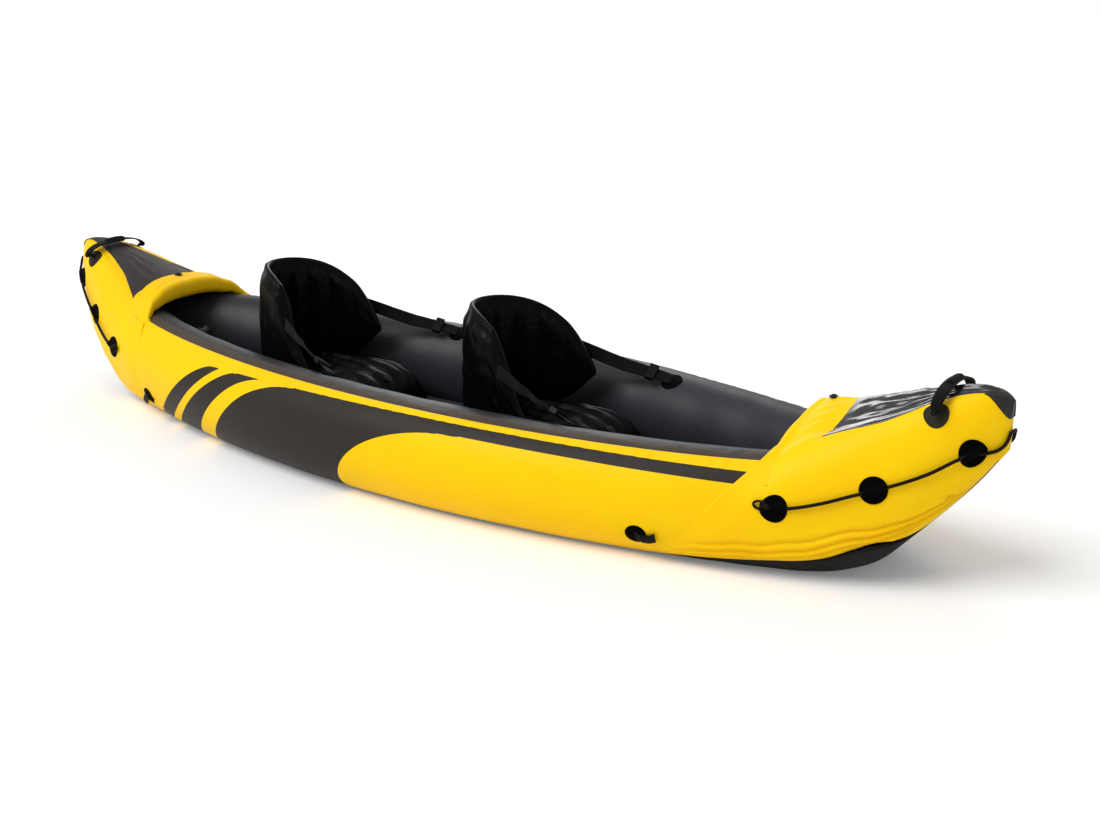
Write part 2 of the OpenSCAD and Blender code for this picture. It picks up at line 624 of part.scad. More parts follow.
// Seat straps: from a wing's outside to a patch on the inner shoulder of the tube
strap_p = 72;
strap_v = 0.7;
strap_skin = 2;
anchor_a = 113;
anchor_patch_r = 30;
anchor_gap = 1;                             // the tubes' insides are hollow along their length
buckle_s = 0.8;
function strap_start(seat_x) = let(
    p = back_point(seat_x, -strap_p, strap_v, 1),
    n = unit([-back_half_w(seat_x)*cos(strap_p), -back_reach*sin(strap_p), 0]))
  p + n*(layer_gap + strap_skin);
function strap_end(seat_x) = tube_point(seat_x + anchor_reach, anchor_a, anchor_gap + skin_t + layer_gap + strap_skin);
function strap_end_normal(seat_x) = surface_normal(tube_surface, seat_x + anchor_reach, anchor_a);
function strap_at(seat_x, s) = mix(strap_start(seat_x), strap_end(seat_x), s);
function strap_wide(seat_x, s) = let(
    run = unit(strap_end(seat_x) - strap_start(seat_x)),
    over_end = unit(cross(strap_end_normal(seat_x), run)),
    up = [0, 0, 1] - run*run.z)
  unit(mix(unit(up), over_end*(over_end.z < 0 ? -1 : 1), s));

module seat_strap(seat_x) {
  steps = 8;
  run = unit(strap_end(seat_x) - strap_start(seat_x));
  function row(s, side) = let(
      w = strap_wide(seat_x, s),
      n = unit(cross(w, run)))
    [for (k = [-1, 1]) strap_at(seat_x, s) + w*k*strap_w/2 + n*side*strap_skin/2];
  shell([for (i = [0:steps]) row(i/steps, -1)], [for (i = [0:steps]) row(i/steps, 1)]);
}
module strap_patches(seat_x) {
  both_sides() round_patch(tube_surface, seat_x + anchor_reach, anchor_a, anchor_patch_r, anchor_gap);
}
module strap_buckles(seat_x) {
  wall = 4;
  depth = 24;
  room = 1.6;
  run = unit(strap_end(seat_x) - strap_start(seat_x));
  w = strap_wide(seat_x, buckle_s);
  n = cross(w, run);
  p = strap_at(seat_x, buckle_s);
  both_sides() multmatrix([[run.x, w.x, n.x, p.x], [run.y, w.y, n.y, p.y], [run.z, w.z, n.z, p.z], [0, 0, 0, 1]])
    difference() {
      cube([depth, strap_w + 2*(room + wall), strap_skin + 2*(room + wall)], center = true);
      cube([depth + 2, strap_w + 2*room, strap_skin + 2*room], center = true);
    }
}
module front_starboard_strap() { color(patch_black) seat_strap(front_seat_x); }
module front_port_strap() { color(patch_black) mirror([0, 1, 0]) seat_strap(front_seat_x); }
module rear_starboard_strap() { color(patch_black) seat_strap(rear_seat_x); }
module rear_port_strap() { color(patch_black) mirror([0, 1, 0]) seat_strap(rear_seat_x); }
module front_strap_patches() { color(patch_black) strap_patches(front_seat_x); }
module rear_strap_patches() { color(patch_black) strap_patches(rear_seat_x); }
module front_strap_buckles() { color(patch_black) strap_buckles(front_seat_x); }
module rear_strap_buckles() { color(patch_black) strap_buckles(rear_seat_x); }

// Screw valves of the two tubes and the floor: a flange with a neck, a hollow plug, and a cap
valve_x = station(11);
valve_a = seam_a + 3*inner_step;
flange_t = 3;
valve_gap = 0.9;
neck_h = 9;
plug_head_h = 3;
cap_head_h = 5;
plug_bore_r = 7.3;
plug_foot = 3;
neck_top = flange_t + neck_h;

module valve_body() {
  difference() {
    union() {
      cylinder(h = flange_t, r = valve_r, $fn = 96);
      cylinder(h = neck_top, r = valve_bore_r + 4, $fn = 96);
    }
    translate([0, 0, 1]) cylinder(h = neck_top, r = valve_bore_r, $fn = 96);
  }
}
module valve_plug() {
  difference() {
    union() {
      translate([0, 0, plug_foot]) cylinder(h = neck_top - plug_foot + turn_gap, r = valve_bore_r - turn_gap, $fn = 96);
      translate([0, 0, neck_top + turn_gap]) cylinder(h = plug_head_h, r = valve_bore_r + 3, $fn = 96);
    }
    translate([0, 0, plug_foot + 2]) cylinder(h = neck_top + plug_head_h, r = plug_bore_r, $fn = 96);
  }
}
module valve_cap() {
  seat = neck_top + plug_head_h + 2*turn_gap;
  difference() {
    union() {
      translate([0, 0, plug_foot + 4]) cylinder(h = seat - plug_foot - 4, r = plug_bore_r - turn_gap, $fn = 96);
      translate([0, 0, seat]) cylinder(h = cap_head_h, r = valve_bore_r + 2, $fn = 96);
    }
    for (k = [0:7]) rotate(45*k) translate([valve_bore_r + 3.4, 0, seat - 1])
      cylinder(h = cap_head_h + 2, r = 2.4, $fn = 32);
  }
}
valve_seat = tube_point(valve_x, valve_a, valve_gap);
valve_normal = surface_normal(tube_surface, valve_x, valve_a);
module on_tube() { on_surface(valve_seat, valve_normal) children(); }
module on_floor() { translate([valve_x, 0, floor_top + layer_gap]) children(); }
module starboard_valve() { color(charcoal) on_tube() valve_body(); }
module starboard_valve_plug() { color(patch_black) on_tube() valve_plug(); }
module starboard_valve_cap() { color(patch_black) on_tube() valve_cap(); }
module port_valve() { color(charcoal) mirror([0, 1, 0]) on_tube() valve_body(); }
module port_valve_plug() { color(patch_black) mirror([0, 1, 0]) on_tube() valve_plug(); }
module port_valve_cap() { color(patch_black) mirror([0, 1, 0]) on_tube() valve_cap(); }
module floor_valve() { color(charcoal) on_floor() valve_body(); }
module floor_valve_plug() { color(patch_black) on_floor() valve_plug(); }
module floor_valve_cap() { color(patch_black) on_floor() valve_cap(); }

// Small pinch valves of the rolls and the seats, pushed in as they are when full
module pinch_valve() {
  cylinder(h = 2, r = 12, $fn = 64);
  cylinder(h = 4, r = 5.5, $fn = 48);
  translate([0, 0, 4]) cylinder(h = 2, r = 6.5, $fn = 48);
}
module roll_valve(arch, slim) {
  translate(roll_path(0, arch, slim) + [0, 0, roll_r(0, slim) + layer_gap]) pinch_valve();
}
module bow_roll_valve() { color(patch_black) roll_valve(bow_roll_arch, bow_slim); }
module stern_roll_valve() { color(patch_black) mirror([1, 0, 0]) roll_valve(stern_roll_arch, stern_slim); }

module cushion_valve(seat_x) {
  u = 1 - 2/cushion_long;
  d = unit(cushion_point(seat_x, u + 0.02, 0) - cushion_point(seat_x, u - 0.02, 0));
  n = unit([0, 0, 1] - d*d.z);
  on_surface(cushion_point(seat_x, u, 0) + n*layer_gap, n) pinch_valve();
}
module backrest_valve(seat_x) {
  p = back_point(seat_x, 0, 0.32, 1);
  translate(p - [layer_gap, 0, 0]) rotate([0, -90, 0]) pinch_valve();
}
module front_cushion_valve() { color(patch_black) cushion_valve(front_seat_x); }
module rear_cushion_valve() { color(patch_black) cushion_valve(rear_seat_x); }
module front_backrest_valve() { color(patch_black) backrest_valve(front_seat_x); }
module rear_backrest_valve() { color(patch_black) backrest_valve(rear_seat_x); }

starboard_tube();
port_tube();
starboard_side_panel();
port_side_panel();
bottom_panel();
ibeam_floor();
bow_cover();
stern_cover();
bow_deck();
stern_deck();
bow_roll();
stern_roll();
bow_nose_patch();
stern_nose_patch();
bow_line_patches();
stern_line_patches();
bow_grab_line();
stern_grab_line();
bow_line_knots();
stern_line_knots();
bow_handle_patches();
stern_handle_patches();
bow_handle_pins();
stern_handle_pins();
bow_handle();
stern_handle();
tie_down_patches();
tie_down_tabs();
front_cushion();
rear_cushion();
front_seat_hinge();
rear_seat_hinge();
front_backrest();
rear_backrest();
front_starboard_strap();
front_port_strap();
rear_starboard_strap();
rear_port_strap();
front_strap_patches();
rear_strap_patches();
front_strap_buckles();
rear_strap_buckles();
starboard_valve();
starboard_valve_plug();
starboard_valve_cap();
port_valve();
port_valve_plug();
port_valve_cap();
floor_valve();
floor_valve_plug();
floor_valve_cap();
bow_roll_valve();
stern_roll_valve();
front_cushion_valve();
rear_cushion_valve();
front_backrest_valve();
rear_backrest_valve();
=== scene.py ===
"""Inflatable tandem kayak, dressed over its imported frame.

Each piece is a surface worked out with numpy, in millimetres in the CAD's frame: +X to the bow,
+Y to port, +Z up. t runs from -1 at the stern to 1 at the bow, and an angle of 0 degrees is the
widest point of a tube's outside, 90 its top.
"""

import bmesh
import bpy
import numpy as np
from mathutils import Matrix


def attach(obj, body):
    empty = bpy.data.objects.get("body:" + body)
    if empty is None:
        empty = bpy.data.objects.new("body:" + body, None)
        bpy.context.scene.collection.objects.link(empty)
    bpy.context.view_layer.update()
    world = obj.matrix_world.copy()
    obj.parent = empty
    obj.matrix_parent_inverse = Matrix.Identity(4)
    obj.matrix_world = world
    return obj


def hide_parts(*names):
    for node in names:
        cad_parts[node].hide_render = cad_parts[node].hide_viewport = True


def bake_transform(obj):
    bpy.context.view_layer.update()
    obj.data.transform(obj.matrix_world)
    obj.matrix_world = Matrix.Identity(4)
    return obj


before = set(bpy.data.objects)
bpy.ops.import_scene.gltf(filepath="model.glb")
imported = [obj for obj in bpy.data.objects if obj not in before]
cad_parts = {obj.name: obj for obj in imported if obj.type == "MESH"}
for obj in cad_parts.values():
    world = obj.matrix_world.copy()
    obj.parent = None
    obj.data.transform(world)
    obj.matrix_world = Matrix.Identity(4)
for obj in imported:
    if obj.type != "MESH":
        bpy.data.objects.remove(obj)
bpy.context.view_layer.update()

# Sizes of the hull in millimetres, as in the part's source; each layer by its distance from the tube
LENGTH, BEAM, TUBE_W, TUBE_H = 3120, 910, 235, 280
TUBE_NOSE_H, STEM_H, NOSE_W = 390, 355, 42
PANEL_OUT, COVER_OUT, PATCH_IN, PATCH_OUT = 2.4, 6.3, 7.0, 9.0
TUBE_L, TUBE_B = LENGTH/2 - PATCH_OUT, BEAM/2 - PANEL_OUT
SKIN_L = TUBE_L*0.985
COVER_X, COVER_H = 1080, 294
# The shape of each end, with x from the middle of the hull. Lists are spots of smooth curves. Across an end
# k is 0 on the centre line, 1 on the tube's crown and 2 at its widest.
BOW = {"way": 1, "rise": 215, "crown": 60, "ridge": 1.3, "patch_a": 38, "patch_x": 0.96,
       "back": 1060, "sweep": 298, "bend": 1.9, "deck_back": 1180, "deck_droop": 12.3, "corner": 1.13,
       "deck_side": [(1150, 1.13), (1200, 1.15), (1330, 1.16), (1364, 1.08), (1388, 0.95), (1430, 0.86),
                     (1490, 0.82), (1551, 0.8)],
       "brink": [(0, 1105), (0.25, 1090), (0.7, 1068), (1, 1060), (1.25, 1051), (1.45, 1033), (1.62, 1010)],
       "crest": [(0, 16.5), (0.3, 15), (0.8, 9), (1, 5.5), (1.3, 2), (1.62, 0.3)],
       "bulge": [(0, 0), (0.5, 4), (1, 4), (1.3, 1.5), (1.62, 0)],
       "roll": [(0, 28), (0.5, 20), (1, 7), (1.3, 4), (1.62, 2.5)]}
STERN = {"way": -1, "rise": 162, "crown": 25, "ridge": 2.0, "patch_a": 50, "patch_x": 0.977,
         "back": 1074, "sweep": 150, "bend": 0.9, "deck_back": 1162, "deck_droop": 8.46, "corner": 1.24,
         "deck_side": [(1140, 1.24), (1174, 1.18), (1212, 1.11), (1250, 1.03), (1310, 0.92), (1358, 0.82),
                       (1420, 0.76), (1490, 0.74), (1551, 0.72)],
         "brink": [(0, 1098), (0.6, 1090), (0.9, 1080), (1, 1074), (1.15, 1056), (1.25, 1043), (1.37, 1030)],
         "crest": [(0, 28), (0.5, 34), (0.9, 38), (1, 35), (1.12, 25), (1.25, 10), (1.37, 0.5)],
         "bulge": [(0, 6), (0.9, 4), (1.37, 0)],
         "roll": [(0, 30), (0.5, 29), (0.9, 25), (1, 22), (1.12, 15.5), (1.25, 8.2), (1.37, 2.6)]}
# Angles on the bow's side: the yellow's lower edge, and the line that its folds follow
LOW_EDGE = [(700, -72), (772, -70), (870, -60), (1001, -49.5), (1137, -41), (1223, -39), (1275, -37),
            (1323, -43), (1373, -70), (1405, -86)]
FOLD_LINE = [(880, -58), (1001, -49.5), (1137, -41), (1223, -39), (1275, -37), (1323, -43), (1373, -50),
             (1419, -58), (1467, -72)]
# Angle of the seam between outer and inner skin, to starboard and to port
SEAM_A, PORT_SEAM_A = 67, 56
FLOOR_H, RIB_PITCH, FLOOR_L = 84, 62, 2000
FLOOR_TOP = PANEL_OUT + FLOOR_H
SIDE_GAP = 6
# A seat: its hinge's x, its seed, and how far and within how many degrees its starboard wing slumps
SEATS = {"front": (66, 61, (95, 24)), "rear": (-699, 71, (120, 16))}
BACK_W, BACK_REACH, BACK_TOP, BACK_T, FLUTES = 310, 285, 478, 55, 10
CUSHION_W, CUSHION_L, CUSHION_T, CUSHION_EDGE, CUSHION_GAP, CHANNELS = 300, 430, 128, 26, 12, 5
CUSHION_Z = FLOOR_TOP + 0.4
BACK_BOTTOM = CUSHION_Z + 40
# A seat strap: its width, its place on the wing as degrees and share of the height, and its anchor ahead of
# the hinge with its angle on the tube
STRAP_W, STRAP_P, STRAP_V, ANCHOR_X, ANCHOR_A = 36, 72, 0.7, 474, 113
# Radii of the welded patches
LINE_PATCH_R, HANDLE_PATCH_R, TIE_R, ANCHOR_R = 33, 29, 27, 30


def cosd(a):
    """Cosine of degrees."""
    return np.cos(np.radians(a))


def sind(a):
    """Sine of degrees."""
    return np.sin(np.radians(a))


def mix(a, b, s):
    """From a at s = 0 to b at s = 1."""
    return a + (b - a)*s


def ease(v, low, high):
    """Rises smoothly from 0 at low to 1 at high."""
    s = np.clip((v - low)/(high - low), 0, 1)
    return s*s*(3 - 2*s)


def bell(v, middle, width):
    """A Gaussian bump of height 1."""
    return np.exp(-((v - middle)/width)**2)


def through(v, spots):
    """A smooth curve through spots: cubic between each two, with mean slopes at them, level beyond the last."""
    at, value = np.array(spots, float).T
    slope = np.gradient(value, at)
    i = np.clip(np.searchsorted(at, v) - 1, 0, len(at) - 2)
    h = at[i + 1] - at[i]
    s = np.clip((v - at[i])/h, 0, 1)
    return (mix(value[i], value[i + 1], s*s*(3 - 2*s))
            + h*s*(1 - s)*(slope[i]*(1 - s) - slope[i + 1]*s))


def unit(v):
    """Vectors at length 1."""
    return v/np.maximum(np.linalg.norm(v, axis=-1, keepdims=True), 1e-9)


def points(x, y, z):
    """Points from arrays that broadcast."""
    return np.stack(np.broadcast_arrays(x, y, z), -1).astype(float)


def grid_of(u, v):
    """Two lists as a grid: the first runs down its rows, the second along them."""
    return np.meshgrid(u, v, indexing="ij")


def port(p):
    """The same points on the port side."""
    return p*np.array([1, -1, 1])


def aft(p):
    """The same points at the stern."""
    return p*np.array([-1, 1, 1])


def waves(u, v, size, seed, count=16):
    """Soft uneven swell: the sum of cosines of about one size in millimetres, in seeded directions."""
    rng = np.random.default_rng(seed)
    way = rng.uniform(0, 2*np.pi, count)
    k = 2*np.pi/size*rng.uniform(0.6, 1.5, count)
    start = rng.uniform(0, 2*np.pi, count)
    u, v = np.broadcast_arrays(u, v)
    total = sum(np.cos(k[i]*(u*np.cos(way[i]) + v*np.sin(way[i])) + start[i]) for i in range(count))
    return total*np.sqrt(2/count)


# Hull shape

def half_beam(t):
    """Half of the beam: a power of 1 - t*t down to the nose's width, steep at the very end."""
    u = np.abs(t)
    full = NOSE_W/2 + (TUBE_B - NOSE_W/2)*np.maximum(0, 1 - u*u)**0.86
    return full*np.sqrt(np.maximum(0, 1 - u**50))


def tube_rx(t):
    """Half of a tube's width: half of the half beam where that is less than the full tube."""
    return np.clip((half_beam(t) - 0.5)/2, 0, TUBE_W/2)


def tube_y(t):
    """Distance of a tube's middle line from the centre line."""
    return half_beam(t) - tube_rx(t)


def tube_top(t):
    """Height of a tube's top: level, then up to the nose by a high power of t."""
    return TUBE_H + (TUBE_NOSE_H - TUBE_H)*np.abs(t)**6.6


def tube_low(t):
    """Height of a tube's underside: level, then a power curve up the stem from 0.73 of the way."""
    return PANEL_OUT + STEM_H*np.maximum(0, (np.abs(t) - 0.73)/0.27)**1.88


def tube_mid(t):
    """Height of a tube's middle line."""
    return (tube_top(t) + tube_low(t))/2


def tube_rz(t):
    """Half of a tube's height."""
    return (tube_top(t) - tube_low(t))/2


def tube_point(x, a, off):
    """On the starboard tube: an ellipse round its middle line, pushed out by off."""
    t = x/TUBE_L
    return points(t*(TUBE_L + off), -tube_y(t) - (tube_rx(t) + off)*cosd(a),
                  tube_mid(t) + (tube_rz(t) + off)*sind(a))


def inner_wall(x):
    """Distance of a tube's inside from the centre line."""
    return tube_y(x/TUBE_L) - tube_rx(x/TUBE_L)


def side_low(x):
    """Lower edge of the side panels: the bottom panel climbs near the ends."""
    return np.where(x > 0, through(x, LOW_EDGE), -72 + 32*bell(-x/TUBE_L, 0.81, 0.08))


def cover_share(x):
    """Share of the way from a cover's start to the nose."""
    return np.maximum(0, (np.abs(x) - COVER_X)/(TUBE_L - COVER_X))


def deck_edge(x, rise):
    """Height of a deck's edge: up by a power of the share of the way, with a drop at the nose."""
    w = cover_share(x)
    return COVER_H + rise*w**0.85 - 50*w**12


def cover_point(x, a, off, rise):
    """On an end cover: the tube below its widest line, drawn up to the deck's edge above it."""
    t = x/TUBE_L
    m = tube_mid(t)
    tall = np.where(a > 0, deck_edge(x, rise) - m, tube_rz(t))
    return points(t*(TUBE_L + off), -tube_y(t) - (tube_rx(t) + off)*cosd(a), m + (tall + off)*sind(a))


def top_point(x, k, off, end):
    """On a deck and its cover: the deck's edge plus a crown that falls by a power of k, then the cover."""
    x, k, off = np.broadcast_arrays(x, k, off)
    q, t = np.abs(k), x/TUBE_L
    ridge = end["crown"]*(1 - cover_share(x))*(1 - np.minimum(q, 1)**end["ridge"])
    deck = points(t*(TUBE_L + off), -tube_y(t)*q, deck_edge(x, end["rise"]) + off + ridge)
    p = np.where((q > 1)[..., None], cover_point(x, 90 - 90*np.maximum(0, q - 1), off, end["rise"]), deck)
    p[..., 0] = t*(TUBE_L + np.minimum(off, COVER_OUT))
    p[..., 1] *= np.where(k < 0, -1, 1)
    return p


def cover_edge_x(a, end):
    """Rear edge of a cover: swept aft from the crown by a power of the angle below it."""
    return end["back"] - end["sweep"]*(np.maximum(0, 90 - a)/145)**end["bend"]


def cover_rise(x, k, end):
    """A cover's distance from the tube without its folds; also brink, landing, share past the deck, free share.

    A crest at the coaming's brink falls away as a cubic to the landing, and a squared sine rounds it. Beyond
    the coaming's ends the rear edge is tucked into the side panel and rises out of it.
    """
    q, reach = np.abs(k), end["brink"][-1][0]
    brink, crest, bulge = (through(q, end[n]) for n in ("brink", "crest", "bulge"))
    past = ease(q, end["corner"] - 0.05, end["corner"] + 0.1)
    land = mix(end["deck_back"] - end["deck_droop"]*q**4 + 5, brink + 90, past)
    w = np.clip((x - brink)/(land - brink), 0, 1)
    rear = np.where(q > 1, cover_edge_x(180 - 90*q, end), brink)
    free = mix(1, ease(x - rear, 0, 90), ease(q, reach - 0.35, reach))
    lift = crest*(1 - w)**2*(1 + 2*w) + bulge*np.sin(np.pi*w)**2
    return mix(PANEL_OUT - 1.4, COVER_OUT - 0.2 + lift, free), brink, land, past, free


def cover_angle(x, z, rise):
    """Angle at which a cover stands at a height."""
    m = tube_mid(x/TUBE_L)
    up = np.degrees(np.arcsin(np.clip((z - m)/(deck_edge(x, rise) - m), -1, 1)))
    down = -np.degrees(np.arcsin(np.clip((m - z)/tube_rz(x/TUBE_L), -1, 1)))
    return np.where(z > m, up, down)


def on_cover(x, z, off, end):
    """On an end cover at a height."""
    return cover_point(x, cover_angle(x, z, end["rise"]), off, end["rise"])


# Meshes

def quads(rows, columns, start=0):
    """Faces of a grid of points."""
    i = start + np.arange(rows*columns).reshape(rows, columns)
    return np.stack([i[:-1, :-1], i[1:, :-1], i[1:, 1:], i[:-1, 1:]], -1).reshape(-1, 4)


def shell_faces(rows, columns):
    """Faces of a closed skin between two grids of one size."""
    k = rows*columns
    i = np.arange(k).reshape(rows, columns)
    rim = np.concatenate([i[0, :-1], i[:-1, -1], i[-1, :0:-1], i[:0:-1, 0]])
    on = np.roll(rim, -1)
    return np.concatenate([quads(rows, columns), quads(rows, columns, k)[:, ::-1],
                           np.stack([rim, on, on + k, rim + k], -1)])


def shell(outer, inner, uv=None, marks=None):
    """A closed skin as a dictionary of arrays."""
    rows, columns = outer.shape[:2]
    part = {"verts": np.concatenate([outer.reshape(-1, 3), inner.reshape(-1, 3)]),
            "faces": shell_faces(rows, columns)}
    if uv is not None:
        flat = points(uv[0], uv[1], 0)[..., :2].reshape(-1, 2)
        part["uv"] = np.concatenate([flat, flat])
    part["marks"] = {k: np.tile(np.broadcast_to(v, (rows, columns)).ravel(), 2)
                     for k, v in (marks or {}).items()}
    return part


def loft(rings, uv=None, marks=None):
    """A closed form through rings of points, whose ends close on the rings' middles."""
    rings = np.concatenate([rings, rings[:, :1]], 1)
    ends = [np.broadcast_to(rings[i].mean(0), rings[i].shape)[None] for i in (0, -1)]
    full = np.concatenate([ends[0], rings, ends[1]])
    rows, columns = full.shape[:2]
    part = {"verts": full.reshape(-1, 3), "faces": quads(rows, columns), "marks": {}}
    grow = lambda v: np.concatenate([v[:1], v, v[-1:]])
    if uv is not None:
        part["uv"] = points(grow(uv[0]), grow(uv[1]), 0)[..., :2].reshape(-1, 2)
    for k, v in (marks or {}).items():
        part["marks"][k] = grow(v).ravel()
    return part


def mirrored(part, turn=port):
    """A part brought to the other side or end."""
    return dict(part, verts=turn(part["verts"]))


def both_sides(parts):
    """Starboard parts, each followed by its mirror image."""
    return [q for p in parts for q in (p, mirrored(p))]


def at_end(end, parts):
    """Parts made at the bow, brought to their own end."""
    return parts if end is BOW else [mirrored(p, aft) for p in parts]


def placed(name, data):
    """A new object in the scene."""
    obj = bpy.data.objects.new(name, data)
    bpy.context.scene.collection.objects.link(obj)
    return obj


def make(name, parts, material, nodes, body="hull"):
    """One object from parts: doubles merged, normals outwards, smooth, riding on a body if one is named."""
    verts, faces, uvs, marks, start = [], [], [], {}, 0
    for p in parts:
        verts.append(p["verts"])
        faces.append(p["faces"] + start)
        uvs.append(p.get("uv", np.zeros((len(p["verts"]), 2))))
        for k, v in p.get("marks", {}).items():
            marks.setdefault(k, []).append(v)
        start += len(p["verts"])
    mesh = bpy.data.meshes.new(name)
    mesh.from_pydata((np.concatenate(verts)*0.001).tolist(), [], np.concatenate(faces).tolist())
    which = np.empty(len(mesh.loops), np.int32)
    mesh.loops.foreach_get("vertex_index", which)
    flat = np.concatenate(uvs)[which].astype(np.float32).ravel()
    mesh.uv_layers.new(name="UVMap").data.foreach_set("uv", flat)
    for k, v in marks.items():
        mark = mesh.attributes.new(k, "FLOAT", "POINT")
        mark.data.foreach_set("value", np.concatenate(v).astype(np.float32))
    bm = bmesh.new()
    bm.from_mesh(mesh)
    bmesh.ops.remove_doubles(bm, verts=bm.verts, dist=1e-5)
    bmesh.ops.dissolve_degenerate(bm, edges=bm.edges, dist=1e-6)
    bmesh.ops.recalc_face_normals(bm, faces=bm.faces)
    bm.to_mesh(mesh)
    bm.free()
    mesh.polygons.foreach_set("use_smooth", np.ones(len(mesh.polygons), bool))
    obj = placed(name, mesh)
    mesh.materials.append(material)
    if body:
        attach(obj, body)
    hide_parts(*nodes)
    return obj


def rings_along(path, d, lift, radius, sides):
    """Circles round a path whose directions are d, turned upright by lift."""
    across = unit(np.cross(d, np.array(lift, float)))[:, None]
    over = np.cross(across, d[:, None])
    turn = np.linspace(0, 360, sides, endpoint=False)[None, :, None]
    return path[:, None] + radius*(across*cosd(turn) + over*sind(turn))


def tube_along(path, radius, sides):
    """Rings of a round tube along a path, with u in millimetres along it and v from 0 to 1 round it."""
    rings = rings_along(path, unit(np.gradient(path, axis=0)), (0, 0, 1), radius, sides)
    run = np.concatenate([[0], np.cumsum(np.linalg.norm(np.diff(path, axis=0), axis=1))])
    u = np.broadcast_to(run[:, None], (len(path), sides + 1))
    v = np.broadcast_to(np.linspace(0, 1, sides + 1)[None], u.shape)
    return rings, (u, v)


def smooth_path(route, each=8):
    """Catmull-Rom curve through the points of a route."""
    q = np.asarray(route, float)
    q = np.concatenate([2*q[:1] - q[1:2], q, 2*q[-1:] - q[-2:-1]])
    s = np.linspace(0, 1, each, endpoint=False)[:, None]
    runs = [0.5*(2*b + (c - a)*s + (2*a - 5*b + 4*c - d)*s**2 + (3*b - a - 3*c + d)*s**3)
            for a, b, c, d in zip(q[:-3], q[1:-2], q[2:-1], q[3:])]
    return np.concatenate(runs + [q[-2:-1]])


# Materials

# Fine textures, as marks to the metre and their depth in metres: a vinyl's grain, a moulding's pits
GRAIN_PER_M, GRAIN_DEPTH = 700.0, 0.00012
PITS_PER_M, PITS_DEPTH = 900.0, 0.0002


def linear(code):
    """sRGB hex colour to linear."""
    c = np.array([int(code[i:i + 2], 16) for i in (0, 2, 4)])/255
    return (*np.where(c <= 0.04045, c/12.92, ((c + 0.055)/1.055)**2.4), 1)


def shaded(code, gain, lift=0):
    """A hex colour made darker or lighter."""
    return "".join("%02x" % min(255, int(int(code[i:i + 2], 16)*gain) + lift) for i in (0, 2, 4))


def add(tree, kind, values=None, **settings):
    """Adds a node: settings are its own, values go to its inputs as numbers or as links."""
    n = tree.nodes.new("ShaderNode" + kind)
    for k, v in settings.items():
        setattr(n, k, v)
    for k, v in (values or {}).items():
        if isinstance(v, bpy.types.NodeSocket):
            tree.links.new(v, n.inputs[k])
        else:
            n.inputs[k].default_value = v
    return n


def finish_of(name, rough=0.4, coat=0.0, specular=0.3, sheen=0.0):
    """A new material, its nodes and its shader with plain values."""
    m = bpy.data.materials.new(name)
    m.use_nodes = True
    tree = m.node_tree
    bsdf = tree.nodes["Principled BSDF"]
    bsdf.inputs["Roughness"].default_value = rough
    bsdf.inputs["Specular IOR Level"].default_value = specular
    bsdf.inputs["Coat Weight"].default_value = coat
    bsdf.inputs["Coat Roughness"].default_value = 0.15
    bsdf.inputs["Sheen Weight"].default_value = sheen
    return m, tree, bsdf


def colour_mix(tree, factor, a, b):
    """Mix of two colours, each a hex code or a socket."""
    n = tree.nodes.new("ShaderNodeMix")
    n.data_type = "RGBA"
    for i, v in ((6, a), (7, b)):
        if isinstance(v, str):
            n.inputs[i].default_value = linear(v)
        else:
            tree.links.new(v, n.inputs[i])
    tree.links.new(factor, n.inputs[0])
    return n.outputs[2]


def vinyl(name, colour, shade, rough, specular, crease, crease_size, print_and_painted_light=None, coat=0.0):
    """Calendered PVC sheet: a satin skin with a fine grain, soft creases and faint colour drift.

    crease is the creases' depth in metres and crease_size their width in millimetres. The mark given after
    crease_size is over 0 where the sheet takes a second colour, given with it: print on the side panels,
    painted light along the inner tubes' tops.
    """
    m, tree, bsdf = finish_of(name, rough, coat, specular)
    place = add(tree, "TexCoord").outputs["Object"]
    drift = add(tree, "TexNoise", {"Vector": place, "Scale": 5.0, "Detail": 3.0, "Roughness": 0.55})
    part = add(tree, "MapRange", {"Value": drift.outputs["Fac"], "From Min": 0.35, "From Max": 0.7})
    tone = colour_mix(tree, part.outputs[0], colour, shade)
    if print_and_painted_light:
        mark = add(tree, "Attribute", attribute_name=print_and_painted_light[0]).outputs["Fac"]
        inside = add(tree, "MapRange", {"Value": mark, "From Min": -0.6, "From Max": 0.6})
        tone = colour_mix(tree, inside.outputs[0], tone, print_and_painted_light[1])
    tree.links.new(tone, bsdf.inputs["Base Color"])
    grain = add(tree, "TexNoise", {"Vector": place, "Scale": GRAIN_PER_M, "Detail": 2.0})
    folds = add(tree, "TexNoise", {"Vector": place, "Scale": 1000/crease_size, "Detail": 4.0,
                                   "Roughness": 0.6, "Distortion": 0.6})
    low = add(tree, "Bump", {"Height": folds.outputs["Fac"], "Distance": crease, "Strength": 1.0})
    fine = add(tree, "Bump", {"Height": grain.outputs["Fac"], "Distance": GRAIN_DEPTH, "Strength": 0.6,
                              "Normal": low.outputs[0]})
    tree.links.new(fine.outputs[0], bsdf.inputs["Normal"])
    worn = add(tree, "MapRange", {"Value": folds.outputs["Fac"], "To Min": rough - 0.07,
                                  "To Max": rough + 0.1})
    tree.links.new(worn.outputs[0], bsdf.inputs["Roughness"])
    return m


